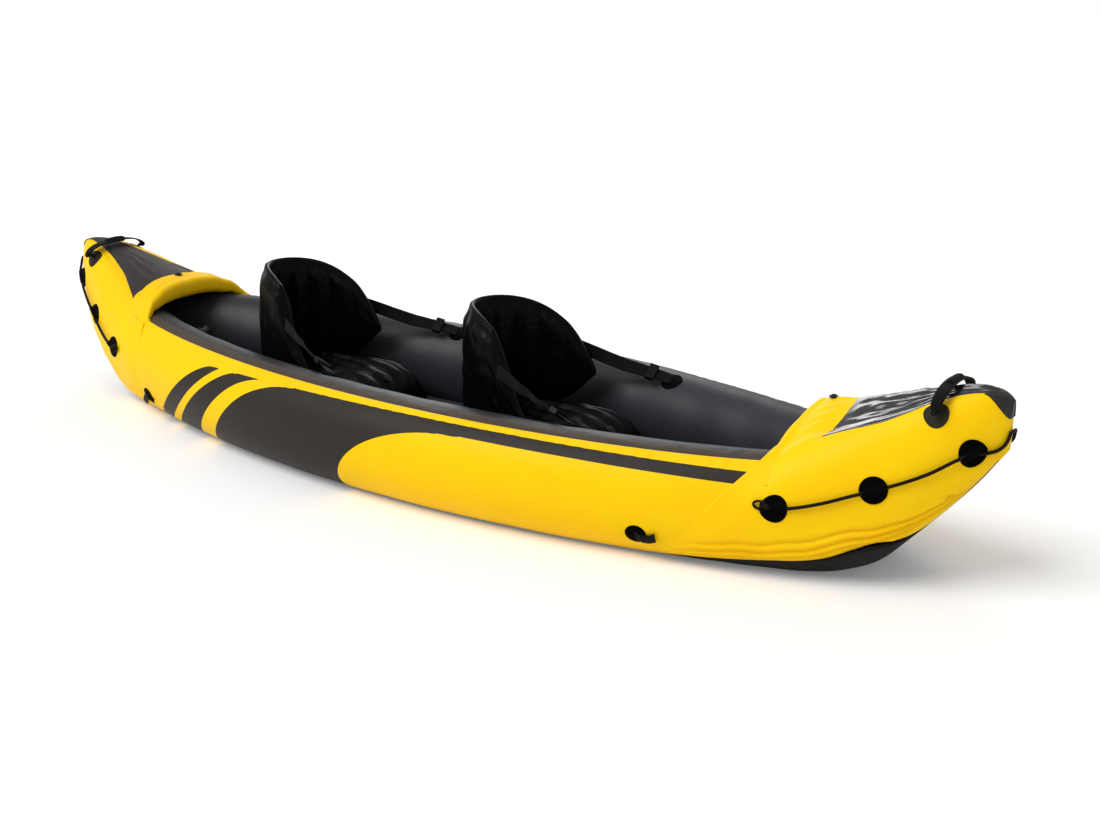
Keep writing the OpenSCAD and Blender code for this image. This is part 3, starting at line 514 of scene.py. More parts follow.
def woven(name, colour, thread, rough=0.75, across=True):
    """Polyester webbing or braided cord: crossed twills on its own millimetres, coarser than real."""
    m, tree, bsdf = finish_of(name, rough, 0.0, 0.12, 0.05)
    uv = add(tree, "UVMap", uv_map="UVMap").outputs[0]
    flip = add(tree, "Mapping", {"Vector": uv, "Scale": (1, -1, 1)}).outputs[0]
    one, two = (add(tree, "TexWave", {"Vector": way, "Scale": 1/thread, "Distortion": 0.4, "Detail": 1.0},
                    bands_direction="DIAGONAL").outputs["Fac"] for way in (uv, flip))
    cloth = add(tree, "Math", {0: one, 1: two}, operation="MULTIPLY" if across else "MAXIMUM")
    tone = colour_mix(tree, cloth.outputs[0], shaded(colour, 0.5), colour)
    tree.links.new(tone, bsdf.inputs["Base Color"])
    bump = add(tree, "Bump", {"Height": cloth.outputs[0], "Distance": 0.0006, "Strength": 0.9})
    tree.links.new(bump.outputs[0], bsdf.inputs["Normal"])
    return m


def moulded(name, colour, rough=0.45):
    """Injection-moulded plastic: even colour with a fine spark-eroded texture."""
    m, tree, bsdf = finish_of(name, rough, 0.0, 0.12)
    place = add(tree, "TexCoord").outputs["Object"]
    pits = add(tree, "TexNoise", {"Vector": place, "Scale": PITS_PER_M, "Detail": 2.0})
    wear = add(tree, "TexNoise", {"Vector": place, "Scale": 60.0, "Detail": 3.0})
    tone = colour_mix(tree, wear.outputs["Fac"], colour, shaded(colour, 1.25, 6))
    tree.links.new(tone, bsdf.inputs["Base Color"])
    bump = add(tree, "Bump", {"Height": pits.outputs["Fac"], "Distance": PITS_DEPTH, "Strength": 0.5})
    tree.links.new(bump.outputs[0], bsdf.inputs["Normal"])
    return m


side_vinyl = vinyl("printed_side_vinyl", "ffd002", "ffca02", 0.42, 0.1, 0.0007, 70, ("dark_print", "332f2b"))
cover_vinyl = vinyl("yellow_cover_vinyl", "ffd002", "ffc902", 0.42, 0.1, 0.0007, 70)
roll_vinyl = vinyl("yellow_roll_vinyl", "ffd002", "ffca02", 0.42, 0.1, 0.0007, 70)
# The inner tubes carry a band of painted light along their tops: a lighter brown for light from above and
# yellow thrown up by the side panels.
inner_vinyl = vinyl("grey_inner_vinyl", "2b2c31", "25262b", 0.45, 0.3, 0.001, 60, ("gunwale", "453b2f"))
floor_vinyl = vinyl("grey_floor_vinyl", "2b2c31", "25262b", 0.5, 0.3, 0.001, 40)
bottom_vinyl = vinyl("charcoal_bottom_vinyl", "12100f", "0e0d0c", 0.5, 0.15, 0.001, 60)
nose_vinyl = vinyl("charcoal_nose_vinyl", "2a2725", "221f1e", 0.5, 0.3, 0.0008, 30)
bow_deck_vinyl = vinyl("glossy_deck_vinyl", "2c282b", "231f22", 0.14, 0.4, 0.003, 70, coat=0.6)
stern_deck_vinyl = vinyl("charcoal_deck_vinyl", "383130", "332c2b", 0.6, 0.3, 0.0004, 50)
seat_vinyl = vinyl("black_seat_vinyl", "020304", "040506", 0.34, 0.08, 0.0005, 90)
patch_rubber = vinyl("black_patch_vinyl", "010101", "020202", 0.7, 0.04, 0.0003, 15)
handle_rubber = vinyl("olive_patch_vinyl", "2f2d23", "2a281f", 0.6, 0.1, 0.0003, 15)
cord_braid = woven("brown_braided_cord", "1c120b", 9.0, 0.85, False)
strap_webbing = woven("black_webbing", "060607", 6.0, 0.75)
black_plastic = moulded("black_moulded_plastic", "0d0d0e", 0.4)
valve_plastic = moulded("charcoal_valve_plastic", "232326", 0.45)


# Tubes, panels, bottom and floor

def side_tube():
    """A tube's inner skin: puckers at the seam, creases near the stern and a soft swell inside."""
    xs = SKIN_L*sind(np.linspace(-90, 90, 241))
    x, a = grid_of(xs, np.linspace(0, 360, 97)[:-1])
    puckers = 0.8*bell(a, 78, 9)*waves(x, a, 26, 3)
    stern_creases = 2.4*bell(x, -800, 110)*bell(a, 148, 26)*np.cos(2*np.pi*(x + 0.25*a)/33)
    inside = ease(a, 92, 125)*(1 - ease(a, 232, 262))
    swell = 0.9*waves(x, 2*a, 210, 5)*ease(1500 - np.abs(x), 0, 200)*inside
    off = puckers + stern_creases + swell - 0.9 - sunk(x, np.where(a > 180, a - 360, a))
    full = lambda v: np.concatenate([v, v[:, :1]], 1)
    # The band from 55 to 83 degrees, the tube's top, is painted light: lighter brown for light falling on the
    # top and yellow bounce.
    gunwale = np.minimum(a - 55, 83 - a)*2 + 0.5*waves(x, a, 60, 8)
    return loft(tube_point(x, a, off), (full(x), full(a*2)), {"gunwale": full(gunwale)})


def sweep_edge(a, start, run, sweep, end):
    """Colour edge that leans towards the bow and flattens out at its end angle: a line plus a quarter arc."""
    q = np.clip((a + 60)/(end + 60), 0, 1)
    return start + run*q + sweep*(1 - np.sqrt(1 - q*q))


def dark_print(x, a):
    """Over 0 inside the dark bands, panel and stripe, about in millimetres from their edges."""
    deg = 2.05
    top = 58 - 11*((x - 300)/900)**2
    under = (top - a)*deg
    band_1 = np.minimum(x - sweep_edge(a, -928, 236, 97, 48), sweep_edge(a, -865, 273, 31, 49) - x)
    band_2 = np.minimum(x - sweep_edge(a, -819, 234, 96, 49.5), sweep_edge(a, -698, 165, 156, 51) - x)
    field = np.minimum(x - sweep_edge(a, -77, -39, 452, 44), (top - 14.5 - a)*deg)
    panel = np.minimum(x - sweep_edge(a, -618, 125, 235, 52.5), -field)
    return np.minimum(under, np.maximum(np.maximum(band_1, band_2), panel))


def low_folds(x, a, seed):
    """Lengthwise folds where the side turns under near the stern: soft ridges cut by narrow valleys."""
    held = bell(a, -37, 15)*ease(np.abs(x), 640, 930)*ease(1540 - np.abs(x), 0, 130)
    swell = waves(np.abs(x)/11, a*2.0, 27, seed)
    return held*(2.0 + 1.3*swell - 4.2*np.exp(-(swell/0.2)**2))


def bow_folds(x, a):
    """Folds of the bow's cover above its lower edge: three valleys, soft ridges between, a slit at the stem."""
    up = a - through(x, FOLD_LINE) + 1.3*np.sin(x/41) + 0.8*np.sin(x/17 + 1)
    valleys = 5*bell(up, 25, 2.0) + 6.2*bell(up, 15, 2.2) + 5.4*bell(up, 7, 1.9)
    ridges = 2*bell(up, 20, 3) + 2*bell(up, 11, 2.5) + 1.4*bell(up, 31, 4)
    held = ease(x, 820, 960)*(1 - ease(x, 1425, 1490))*ease(x - cover_edge_x(a, BOW), 20, 120)
    slit = 6*bell(x, 1451 - 36*(a + 30)/46, 5)*ease(-26 - a, 0, 10)*ease(a + 78, 0, 6)
    return held*(ridges - valleys) - slit


def sunk(x, a):
    """How far the layers under the bow's folds lie in: up to 9 mm in the strip above the fold line."""
    up = a - through(x, FOLD_LINE)
    return 9*ease(x, 800, 900)*ease(up, 0, 5)*(1 - ease(up, 32, 42))*ease(x - cover_edge_x(a, BOW), 15, 90)


def side_panel(seam):
    """Outer skin from the bottom panel up to the seam: a welt and puckers there, folds low near the stern."""
    xs = np.concatenate([np.linspace(-SKIN_L, -1060, 40), np.linspace(-1055, 1055, 423),
                         np.linspace(1060, SKIN_L, 40)])
    x, s = grid_of(xs, np.linspace(0, 1, 73))
    a = mix(side_low(x), seam, s)
    welt = 1.2*ease(a, seam - 6, seam - 3)*(1 - ease(a, seam - 2, seam))
    pucker = 0.5*bell(a, seam - 9, 6)*waves(x, 0*a, 30, 11)
    off = PANEL_OUT - 0.3 + welt + pucker + 0.5*waves(x, 2*a, 260, 12)*ease(seam - a, 4, 30)
    off = np.maximum(off + 0.6*low_folds(x, a, 21)*ease(1150 - np.abs(x), 0, 200)*(x < 0), 0.9)
    inward = sunk(x, a)
    return shell(tube_point(x, a, off - inward), tube_point(x, a, 0.4 - inward), (x, 2*a),
                 {"dark_print": dark_print(x, a + SEAM_A - seam)})


def bottom_panel():
    """Dark bottom from side panel to side panel round the keel, fuller under the bow."""
    xs = SKIN_L*sind(np.linspace(-90, 90, 181))
    x, s = grid_of(xs, np.linspace(0, 1, 25))
    a = mix(side_low(x) - 1.2, -90, s)
    off = PANEL_OUT - 0.3 + 0.3*waves(x, 2*a, 120, 14) + 9*bell(x, 1295, 70)
    half = [tube_point(x, a, o)[:, ::-1] for o in (off, 0.4 + 0*off)]
    share = np.linspace(0, 1, 14)[1:-1][None, :, None]
    keel = [share*(h[:, :1] - port(h[:, :1])) + port(h[:, :1]) for h in half]
    outer, inner = [np.concatenate([port(h)[:, ::-1], k, h], 1) for h, k in zip(half, keel)]
    outer[..., 2] = np.maximum(outer[..., 2], 0.0)
    return shell(outer, inner)


def air_floor():
    """Lengthwise tubes side by side: the outline of circles, trimmed between the side tubes."""
    x, v = grid_of(FLOOR_L/2*sind(np.linspace(-90, 90, 161)), np.linspace(-1, 1, 201))
    t = x/TUBE_L
    s = np.minimum(0, (FLOOR_TOP - tube_mid(t))/tube_rz(t))
    half = tube_y(t) - tube_rx(t)*np.sqrt(1 - s*s) - SIDE_GAP
    y = v*half
    r = FLOOR_H/2
    d = np.abs((y + RIB_PITCH/2) % RIB_PITCH - RIB_PITCH/2)
    ends = np.sqrt(np.clip(1 - (np.abs(x)/(FLOOR_L/2))**40, 0, 1))
    sides = np.sqrt(np.clip(1 - np.abs(v)**30, 0, 1))
    tall = (np.sqrt(r*r - d*d) - 0.5 + 0.4*waves(x, y, 60, 15)*(d < 25))*ends*sides
    z = PANEL_OUT + r
    tall = np.maximum(tall, 0.6)
    return shell(points(x, y, z + tall), points(x, y, z - tall))


tube = side_tube()
make("starboard_inner_tube", [tube], inner_vinyl, ["starboard_tube"])
make("port_inner_tube", [mirrored(tube)], inner_vinyl, ["port_tube"])
make("starboard_printed_side", [side_panel(SEAM_A)], side_vinyl,
     ["starboard_side_panel"])
make("port_printed_side", [mirrored(side_panel(PORT_SEAM_A))], side_vinyl,
     ["port_side_panel"])
make("keel_bottom", [bottom_panel()], bottom_vinyl, ["bottom_panel"])
ribs = make("air_floor", [air_floor()], floor_vinyl, ["ibeam_floor"])


# End covers, decks, rolls and nose patches

def end_cover(end, seed):
    """A cover from its swept rear edge to the nose and back on the other side, tucked under the deck's edge."""
    i, j = grid_of(np.linspace(0, 1, 160), np.linspace(0, 1, 130))
    rear = cover_edge_x(mix(-55, 90, j), end)
    x = mix(rear, TUBE_L*0.998, 1 - (1 - i)**1.7)
    low = np.maximum(-55, side_low(x*end["way"]) + 0.7)
    side = through(x, end["deck_side"])
    k = mix(1 + (90 - low)/90, np.minimum(1, side - 0.03), j)
    a = 90 - 90*np.maximum(0, k - 1)
    folds = bow_folds(x, a) if end is BOW else np.maximum(low_folds(x, a, seed), -2.7)
    soft = 0.5*waves(x, 2*a, 170, seed + 1)*ease(1540 - x, 0, 100)
    rise, *_, free = cover_rise(x, k, end)
    under = 7*ease(side - k, 0.005, 0.06)*ease(x - end["deck_back"], -5, 20)
    off = mix(PANEL_OUT - 0.3, rise - under + (soft + folds)*free*ease(x - rear, 0, 60), ease(a - low, 0, 6))
    grids = []
    for o in (off, off - 0.9):
        half = top_point(x, k, o, end)
        grids.append(np.concatenate([half, port(half)[::-1]]))
    return shell(*grids)


def deck(end, depth, seed):
    """Sheet over a cover's upper edges, with lengthwise folds that die out at its sides and ends."""
    v, u = grid_of(np.linspace(0, 1, 130), np.linspace(1, -1, 91))
    x = mix(end["deck_back"] - end["deck_droop"]*(u*end["corner"])**4, TUBE_L*0.992, v)
    hold = (1 - np.abs(u)**6)*ease(v, 0.03, 0.12)*ease(1 - v, 0, 0.1)
    folds = depth*hold*(waves(x/5, u*120, 44, seed) + 0.35*waves(x/3, u*120, 20, seed + 1))
    k, off = u*through(x, end["deck_side"]), COVER_OUT + 0.6 + folds
    return shell(top_point(x, k, off, end), top_point(x, k, off - 1.2, end))


def coaming(end, seed):
    """A coaming whose top runs from its brink over the cockpit to a welded edge on the deck.

    The back is a superellipse hung below the brink. Beyond the deck's corners the top runs under the cover,
    and the back thins out on the tube.
    """
    reach = end["brink"][-1][0]
    k = np.linspace(-reach, reach, 261)[:, None]
    q, w = np.abs(k), np.linspace(0, 1, 25)[None]
    _, brink, land, past, _ = cover_rise(0*k, k, end)
    x = mix(brink, land, w)
    lip = mix(0.4 + 1.8*ease(w, 0.3, 0.7)*np.sqrt(1 - w**8), -0.8, past)
    off = cover_rise(x, k + 0*w, end)[0] + lip + 0.5*waves(k*300, w*60, 60, seed)*np.sin(np.pi*w)*(1 - past)
    over = top_point(x, k, off, end)
    top = over[:, :1]
    out = unit(top_point(brink, k, off[:, :1] + 1, end) - top)
    turn = np.linspace(90, 270, 25)[None, 1:, None]
    curve = lambda v: np.sign(v)*np.abs(v)**0.77
    r = through(q, end["roll"])[..., None]
    back = top - r*out + r*(np.array([1.0, 0, 0])*curve(cosd(turn)) + out*curve(sind(turn)))
    foot = top_point(land, k, off[:, -1:] - 5, end)
    under = mix(foot, back[:, -1:], np.linspace(0, 1, 9)[None, :-1, None])
    return loft(np.concatenate([over, under, back[:, ::-1]], 1))


def nose_patch(end):
    """A doubler over the nose: up one side of the cover, across the deck's tip, down the other."""
    i, j = grid_of(np.linspace(0, 1, 40), np.linspace(0, 1, 30))
    x = TUBE_L*mix(mix(0.9965, end["patch_x"], j**0.9), 0.998, 1 - (1 - i)**1.4)
    a = mix(end["patch_a"], 90.0, j)
    grids = []
    for off in (PATCH_OUT - 0.3, PATCH_IN):
        side = cover_point(x, a, off + 0*x, end["rise"])
        v = np.linspace(0, 1, 12)[1:-1][None, :, None]
        top = side[:, -1:]*(1 - v) + port(side[:, -1:])*v
        top[..., 2] += 1.5*np.sin(np.pi*v[..., 0])
        grids.append(np.concatenate([side, top, port(side)[:, ::-1]], 1))
    front = [np.concatenate([g, g[-1:]*np.array([1, 0.02, 1])]) for g in grids]
    return shell(*front)


for where, end, seed, deck_vinyl, deck_folds in (("bow", BOW, 21, bow_deck_vinyl, 2.2),
                                                 ("stern", STERN, 31, stern_deck_vinyl, 0.6)):
    make(where + "_yellow_cover", at_end(end, [end_cover(end, seed)]), cover_vinyl,
         [where + "_cover"])
    make(where + "_deck_sheet", at_end(end, [deck(end, deck_folds, seed + 3)]), deck_vinyl,
         [where + "_deck"])
    roll = make(where + "_coaming_roll", at_end(end, [coaming(end, seed + 5)]), roll_vinyl,
                [where + "_roll"])
    make(where + "_nose_doubler", at_end(end, [nose_patch(end)]), nose_vinyl,
         [where + "_nose_patch"])


# Welded patches, grab lines, handles and tie-downs

def disc(surface, x, a, r, low, high, sleeve=0.0):
    """A round patch on a surface: flat with a rounded edge, and a sleeve for the line along its middle."""
    q, k = grid_of(np.linspace(0.04, 1, 15), np.linspace(0, 360, 49)[:-1])
    along = surface(x + 0.5, a, low) - surface(x - 0.5, a, low)
    around = surface(x, a + 0.5, low) - surface(x, a - 0.5, low)
    ahead = unit(along)
    lean = around @ ahead
    u, v = r*q*cosd(k), r*q*sind(k)
    turn = v/np.linalg.norm(around - ahead*lean)
    run = (u - turn*lean)/np.linalg.norm(along)
    edge = np.sqrt(np.clip(1 - np.clip((q - 0.88)/0.12, 0, 1)**2, 0, 1))
    top = low + (high - low)*edge + sleeve*np.exp(-(v/7)**2)*np.clip(1.15 - q**6*0.5, 0, 1)*edge
    grid = lambda off: surface(x + run, a + turn, off)
    return loft(np.concatenate([grid(low + 0*top), grid(top)[::-1]]))


def cover_of(end):
    """An end's cover as a surface of x, angle and distance."""
    return lambda x, a, off: cover_point(np.asarray(x, float), np.asarray(a, float), off, end["rise"])


def tube_side(x, a, off):
    """The tube as a surface of x, angle and distance."""
    return tube_point(np.asarray(x, float), np.asarray(a, float), off)


# A grab line: its end, its patches' places and its route, as x and height on the cover
LINES = {
    "bow": (BOW, [(1104, 188), (1307, 253), (1490, 352)],
            [(1072, 190), (1104, 188), (1150, 196), (1205, 213), (1260, 235), (1307, 253), (1360, 276),
             (1410, 302), (1455, 333), (1490, 352), (1512, 354), (1532, 361), (1544, 376), (1549, 396)]),
    "stern": (STERN, [(1166, 176), (1326, 240), (1478, 322)],
              [(1134, 178), (1166, 176), (1205, 187), (1255, 206), (1300, 227), (1326, 240), (1370, 262),
               (1410, 284), (1445, 303), (1478, 322), (1512, 343), (1537, 360), (1549, 370)]),
}
LINE_R, LINE_OVER, TAIL_R, BRAID_ROUND = 4.2, PATCH_OUT + 4.5, 3.0, 27


def grab_line(end, spots, route):
    """A braided line laced through the patches' sleeves and round the nose."""
    way = smooth_path(route, 8)
    x, z = way[:, 0], way[:, 1]
    near = np.maximum(np.max([bell(x, s[0], 26) for s in spots], axis=0), ease(x, 1490, 1530))
    off = mix(LINE_OVER, COVER_OUT + LINE_R + 0.2, near)
    half = on_cover(x, z, off, end)
    path = np.concatenate([half, port(half)[::-1]])
    rings, uv = tube_along(path, LINE_R, 12)
    return loft(rings, (uv[0], uv[1]*BRAID_ROUND))


def tail_loop(end, route):
    """The line's tail: a small tied loop lying on the cover, and the lumpy knot that holds it."""
    x0, z0 = route[0]
    k = np.linspace(0, 360, 41)
    x = x0 + 1 + 14*cosd(k)
    z = z0 + 2 + 8*sind(k) - 2*cosd(k)
    path = on_cover(x, z, COVER_OUT + LINE_R + 1.5*sind(k) + 1.5, end)[:-1]
    d = unit(np.roll(path, -1, 0) - np.roll(path, 1, 0))
    rings = rings_along(path, d, (0, -1, 0.2), TAIL_R, 12)
    full = np.concatenate([rings, rings[:1]])
    full = np.concatenate([full, full[:, :1]], 1)
    rows, columns = full.shape[:2]
    u, v = grid_of(np.linspace(0, 100, rows), np.linspace(0, BRAID_ROUND, columns))
    loop = {"verts": full.reshape(-1, 3), "faces": quads(rows, columns),
            "uv": np.stack([u, v], -1).reshape(-1, 2)}
    mid = on_cover(np.array(x0 + 15.0), np.array(z0), COVER_OUT + 6.5, end)
    lat, lon = grid_of(np.linspace(-88, 88, 15), np.linspace(0, 360, 25)[:-1])
    lump = 1 + 0.08*np.cos(np.radians(3*lon + 2*lat))
    ball = mid + points(9.5*lump*sind(lat), 6*lump*cosd(lat)*cosd(lon), 7.5*lump*cosd(lat)*sind(lon))
    round_it = np.broadcast_to(np.linspace(0, 20, 25), (15, 25))
    return [loop, loft(ball, (round_it, np.zeros((15, 25))))]


for where, (end, spots, route) in LINES.items():
    sleeves = []
    for x, z in spots:
        a = float(cover_angle(np.array(float(x)), np.array(float(z)), end["rise"]))
        sleeves.append(disc(cover_of(end), x, a, LINE_PATCH_R, COVER_OUT + 0.2, PATCH_OUT, LINE_R*2 - 0.5))
    make(where + "_line_sleeves", at_end(end, both_sides(sleeves)), patch_rubber,
         [where + "_line_patches"])
    make(where + "_braided_line", at_end(end, [grab_line(end, spots, route)]), cord_braid,
         [where + "_grab_line"])
    make(where + "_line_tails", at_end(end, both_sides(tail_loop(end, route))), cord_braid,
         [where + "_line_knots"])


def webbing_arch(pin, span, rise, width, thick):
    """Flat strap bent in an arch between the two pins, its feet rolled round them."""
    k, w = grid_of(np.linspace(5.8, 174.2, 61), np.linspace(-1, 1, 13))
    narrow = 1 - 0.25*np.abs(cosd(k))**6
    dish = 1.2*(1 - w*w)
    run = np.radians(k)*90
    grid = lambda h: points(pin[0] + w*width/2*narrow, (span + h + dish)*cosd(k),
                            pin[2] + (rise + h + dish)*sind(k))
    return shell(grid(thick/2 - 1.2), grid(-thick/2 - 0.4), (run, w*width/2))


def grip(pin, half, rise, r):
    """Padded sleeve on the middle of a handle: fuller between its two bound ends."""
    s, k = grid_of(np.linspace(-1, 1, 41), np.linspace(0, 360, 29)[:-1])
    full = r*(0.86 + 0.14*np.sqrt(np.clip(1 - s**8, 0, 1)))*(1 - 0.07*bell(np.abs(s), 0.86, 0.05))
    full = full*np.clip(np.sqrt(np.clip(1.02 - s**30, 0, 1)), 0.2, 1)
    ridge = 1 + 0.02*np.cos(np.radians(k*6))
    rings = points(pin[0] + full*ridge*cosd(k)*1.15, s*half, pin[2] + rise - 3*s*s + full*ridge*sind(k))
    u = np.concatenate([s, s[:, :1]], 1)*half
    return loft(rings, (u, np.broadcast_to(np.linspace(0, 56, 29)[None], u.shape)))


def eye(pin, y, width, inner, outer):
    """Loop of the strap round a pin: a short hollow roll."""
    k, j = grid_of(np.linspace(0, 360, 33), np.arange(5))
    r = np.array([inner, outer - 1, outer, outer - 1, inner])[j]
    across = np.array([0, 0, 0.5, 1, 1])[j]*width + y
    ring = points(pin[0] + r*cosd(k), across, pin[2] + r*sind(k))
    ring = np.concatenate([ring, ring[:, :1]], 1)
    return {"verts": ring.reshape(-1, 3), "faces": quads(*ring.shape[:2])}


# A handle's pin on the port side, and how high its arch stands over the pins
PINS = {"bow": (1415.21, 100.919, 445.021, 50), "stern": (-1415.18, 100.211, 411.327, 33)}
HANDLE_X, HANDLE_A, HANDLE_W, HANDLE_T, GRIP_R = 1405, 64, 30, 4, 9
EYE_W, EYE_IN, EYE_OUT = 12, 4.3, 7.8
for where, (*pin, rise) in PINS.items():
    end = LINES[where][0]
    base = disc(cover_of(end), HANDLE_X, HANDLE_A, HANDLE_PATCH_R, COVER_OUT + 0.2, PATCH_OUT)
    make(where + "_handle_bases", at_end(end, both_sides([base])), handle_rubber,
         [where + "_handle_patches"])
    span = pin[1] + EYE_W
    eyes = [eye(pin, y - EYE_W/2, EYE_W, EYE_IN, EYE_OUT) for y in (span, -span)]
    arch = webbing_arch(pin, span, rise, HANDLE_W, HANDLE_T)
    make(where + "_webbing_handle", [arch, grip(pin, span/3, rise, GRIP_R)] + eyes, strap_webbing,
         [where + "_handle"], where + "_handle")

TAB_L, TAB_W = 48, 24
# A tie-down: its x and angle on the tube, the way its tab points, and how many degrees that drops and sags
TIES = ((792, -28, 1, -2, 4), (-948, -28, -1, 16, 0))


def tie_tab(x0, a0, way, drop, sag):
    """Webbing tab that leaves its patch, drops, sags between and lifts a little at its folded end."""
    s, w = grid_of(np.linspace(0, 1, 25), np.linspace(-1, 1, 9))
    around = np.linalg.norm(tube_side(x0, a0 + 0.5, 0) - tube_side(x0, a0 - 0.5, 0))
    lift = PANEL_OUT + 3.2 + 3.5*s**2 + 1.2*bell(s, 0.25, 0.12)
    a = a0 - drop*s**1.5 - sag*np.sin(np.pi*s) + w*TAB_W/2/around
    grid = lambda h: tube_point(x0 + way*TAB_L*s, a, lift + h)
    return shell(grid(1.9), grid(0.0), (TAB_L*s, TAB_W/2*w))


ties = [disc(tube_side, x, a, TIE_R, PANEL_OUT + 0.3, PANEL_OUT + 2.6) for x, a, *_ in TIES]
make("tie_down_discs", both_sides(ties), patch_rubber, ["tie_down_patches"])
tabs = [tie_tab(*tie) for tie in TIES]
make("tie_down_webbing", both_sides(tabs), strap_webbing, ["tie_down_tabs"])


# Seats

def back_half_w(seat_x):
    """Half of a backrest's width: no more than fits between the tubes."""
    return min(BACK_W/2, inner_wall(seat_x + BACK_REACH*0.8) - BACK_T/2 - 10)


def cushion(seat_x):
    """Crowned pad with five sewn channels, drawn in at its sides, inside the backrest's wings."""
    u, v = grid_of(np.linspace(-1, 1, 101), np.linspace(-1, 1, 121))
    x = seat_x + BACK_T/2 + CUSHION_GAP + CUSHION_L*(u + 1)/2
    ahead = (x - seat_x)/BACK_REACH
    between = back_half_w(seat_x)*np.sqrt(1 - np.maximum(0, 1 - ahead)**2) - BACK_T/2 - SIDE_GAP
    between = between + BACK_T*np.maximum(0, ahead - 0.7)
    drawn = 1 - 0.07*np.maximum(0, u)**6 - 0.03*(1 - u*u)
    half = np.minimum(np.minimum(CUSHION_W/2*drawn, between), inner_wall(x) - SIDE_GAP)
    swell = np.sqrt(np.maximum(0, (1 - u**4)*(1 - v**6)))
    channel = 1 - 0.14*(1 - np.abs(np.sin(CHANNELS*np.pi/2*(v + 1)))**0.8)*swell
    y = half*v
    wrinkle = (0.8*waves(x, y, 60, 41) + 0.3*waves(x/2.5, y, 24, 42))*swell
    z = (CUSHION_Z + CUSHION_EDGE - 12*(1 - swell) + (CUSHION_T - CUSHION_EDGE)*swell*channel
         + wrinkle - 1.5*swell)
    low = CUSHION_Z + 10*(1 - np.sqrt(np.clip((1 - u**12)*(1 - v**12), 0, 1)))
    tuck = 1 - 0.02*(1 - swell)
    return shell(points(x, y*tuck, z), points(x, y*tuck, low))


def back_full(p, v):
    """How full a backrest stands: 1 in its middle, 0 at its rim, by a fourth and a sixth power."""
    return np.sqrt(1 - np.abs(2*v - 1)**4)*np.sqrt(1 - (np.abs(p)/90)**6)


def back_point(seat_x, p, v, side, full, flute, extra, slump=(0, 0)):
    """On a backrest: an upright half ellipse whose edges drop round its wings; the starboard one slumps."""
    hw = back_half_w(seat_x)
    out = unit(np.stack([-hw*cosd(p), BACK_REACH*sind(p)], -1))
    h = side*(2.5 + (BACK_T - 2.5)*full*flute)/2 + side*extra
    sag = slump[0]*ease(-p, 60, 60 + slump[1]) if slump[0] else 0
    low = np.maximum(BACK_BOTTOM + 128*(np.abs(p)/90)**3 - sag, BACK_BOTTOM)
    high = BACK_TOP - 172*(np.abs(p)/90)**4 - sag
    round_tip = np.sqrt(1 - np.clip((np.abs(p) - 70)/20.6, 0, 1)**2)
    return points(seat_x + BACK_REACH*(1 - cosd(p)) + out[..., 0]*h, hw*sind(p) + out[..., 1]*h,
                  mix(low, high, 0.5 + (v - 0.5)*round_tip))


def backrest(seat_x, seed, slump):
    """Upright fluted shell that wraps round the hips: tubes welded side by side within a flat rim."""
    p, v = grid_of(np.linspace(90, -90, 281), np.linspace(0, 1, 91))
    arc = np.radians(p)*190
    rise = v*330
    full = back_full(p, v)
    field = ease(v, 0.03, 0.12)*ease(1 - v, 0.05, 0.13)*ease(86 - np.abs(p), 0, 14)
    flute = 1 - (0.3*(1 - np.abs(np.sin(np.radians(FLUTES*(p + 90))))**0.7))*field
    rim = 1 - 0.35*(1 - field)*ease(full, 0.1, 0.5)
    front = (0.6*waves(arc, rise/2, 60, seed) + 0.2*waves(arc, rise, 24, seed + 1))*full
    folds = waves(arc, rise/4, 55, seed + 2)
    rear = (-2.0*np.exp(-(folds/0.35)**2) + 1.0*waves(arc, rise, 70, seed + 3))*full
    pucker = 0.8*waves(arc, rise/6, 26, seed + 4)*(bell(v, 0.93, 0.06) + bell(np.abs(p), 80, 7))*full
    front, rear = front + pucker, rear + pucker
    return shell(back_point(seat_x, p, v, 1, full, rim, rear - 0.8*full, slump),
                 back_point(seat_x, p, v, -1, full, flute*rim, front - 0.8*full, slump))


def strap_frame(seat_x):
    """Ends of a starboard strap, on the wing's outside and on the tube, and the width's direction at each."""
    hw = back_half_w(seat_x)
    v, p, x = np.array(STRAP_V), np.array(-float(STRAP_P)), seat_x + ANCHOR_X
    n = unit(np.array([-hw*cosd(STRAP_P), -BACK_REACH*sind(STRAP_P), 0]))
    start = back_point(seat_x, p, v, 1, back_full(p, v), 1.0, 0.0) + n*2.4
    end = tube_side(x, ANCHOR_A, 5.4)
    run = unit(end - start)
    along = tube_side(x + 1, ANCHOR_A, 0) - tube_side(x - 1, ANCHOR_A, 0)
    around = tube_side(x, ANCHOR_A + 1, 0) - tube_side(x, ANCHOR_A - 1, 0)
    over = unit(np.cross(unit(np.cross(along, around)), run))
    over = over*np.sign(over[2])
    up = unit(np.array([0, 0, 1.0]) - run*run[2])
    return start, end, up, over


def seat_strap(seat_x):
    """Webbing from a wing to the tube, slack enough to sag a little and turn on its way."""
    start, end, up, over = strap_frame(seat_x)
    s, w = grid_of(np.linspace(0, 1, 49), np.linspace(-1, 1, 9))
    run = unit(end - start)
    wide = unit(mix(up, over, s[..., None]))
    side = unit(np.cross(wide, run))
    line = mix(start, end, s[..., None]) - np.array([0, 0, 6.0])*(np.sin(np.pi*s)**2)[..., None]
    ripple = 1.2*np.sin(np.pi*s)*waves(s*290, w*6, 60, 51)
    grid = lambda h: line + wide*(w*STRAP_W/2)[..., None] + side*(h + ripple)[..., None]
    length = np.linalg.norm(end - start)
    return shell(grid(-0.9), grid(0.9), (s*length, w*STRAP_W/2))


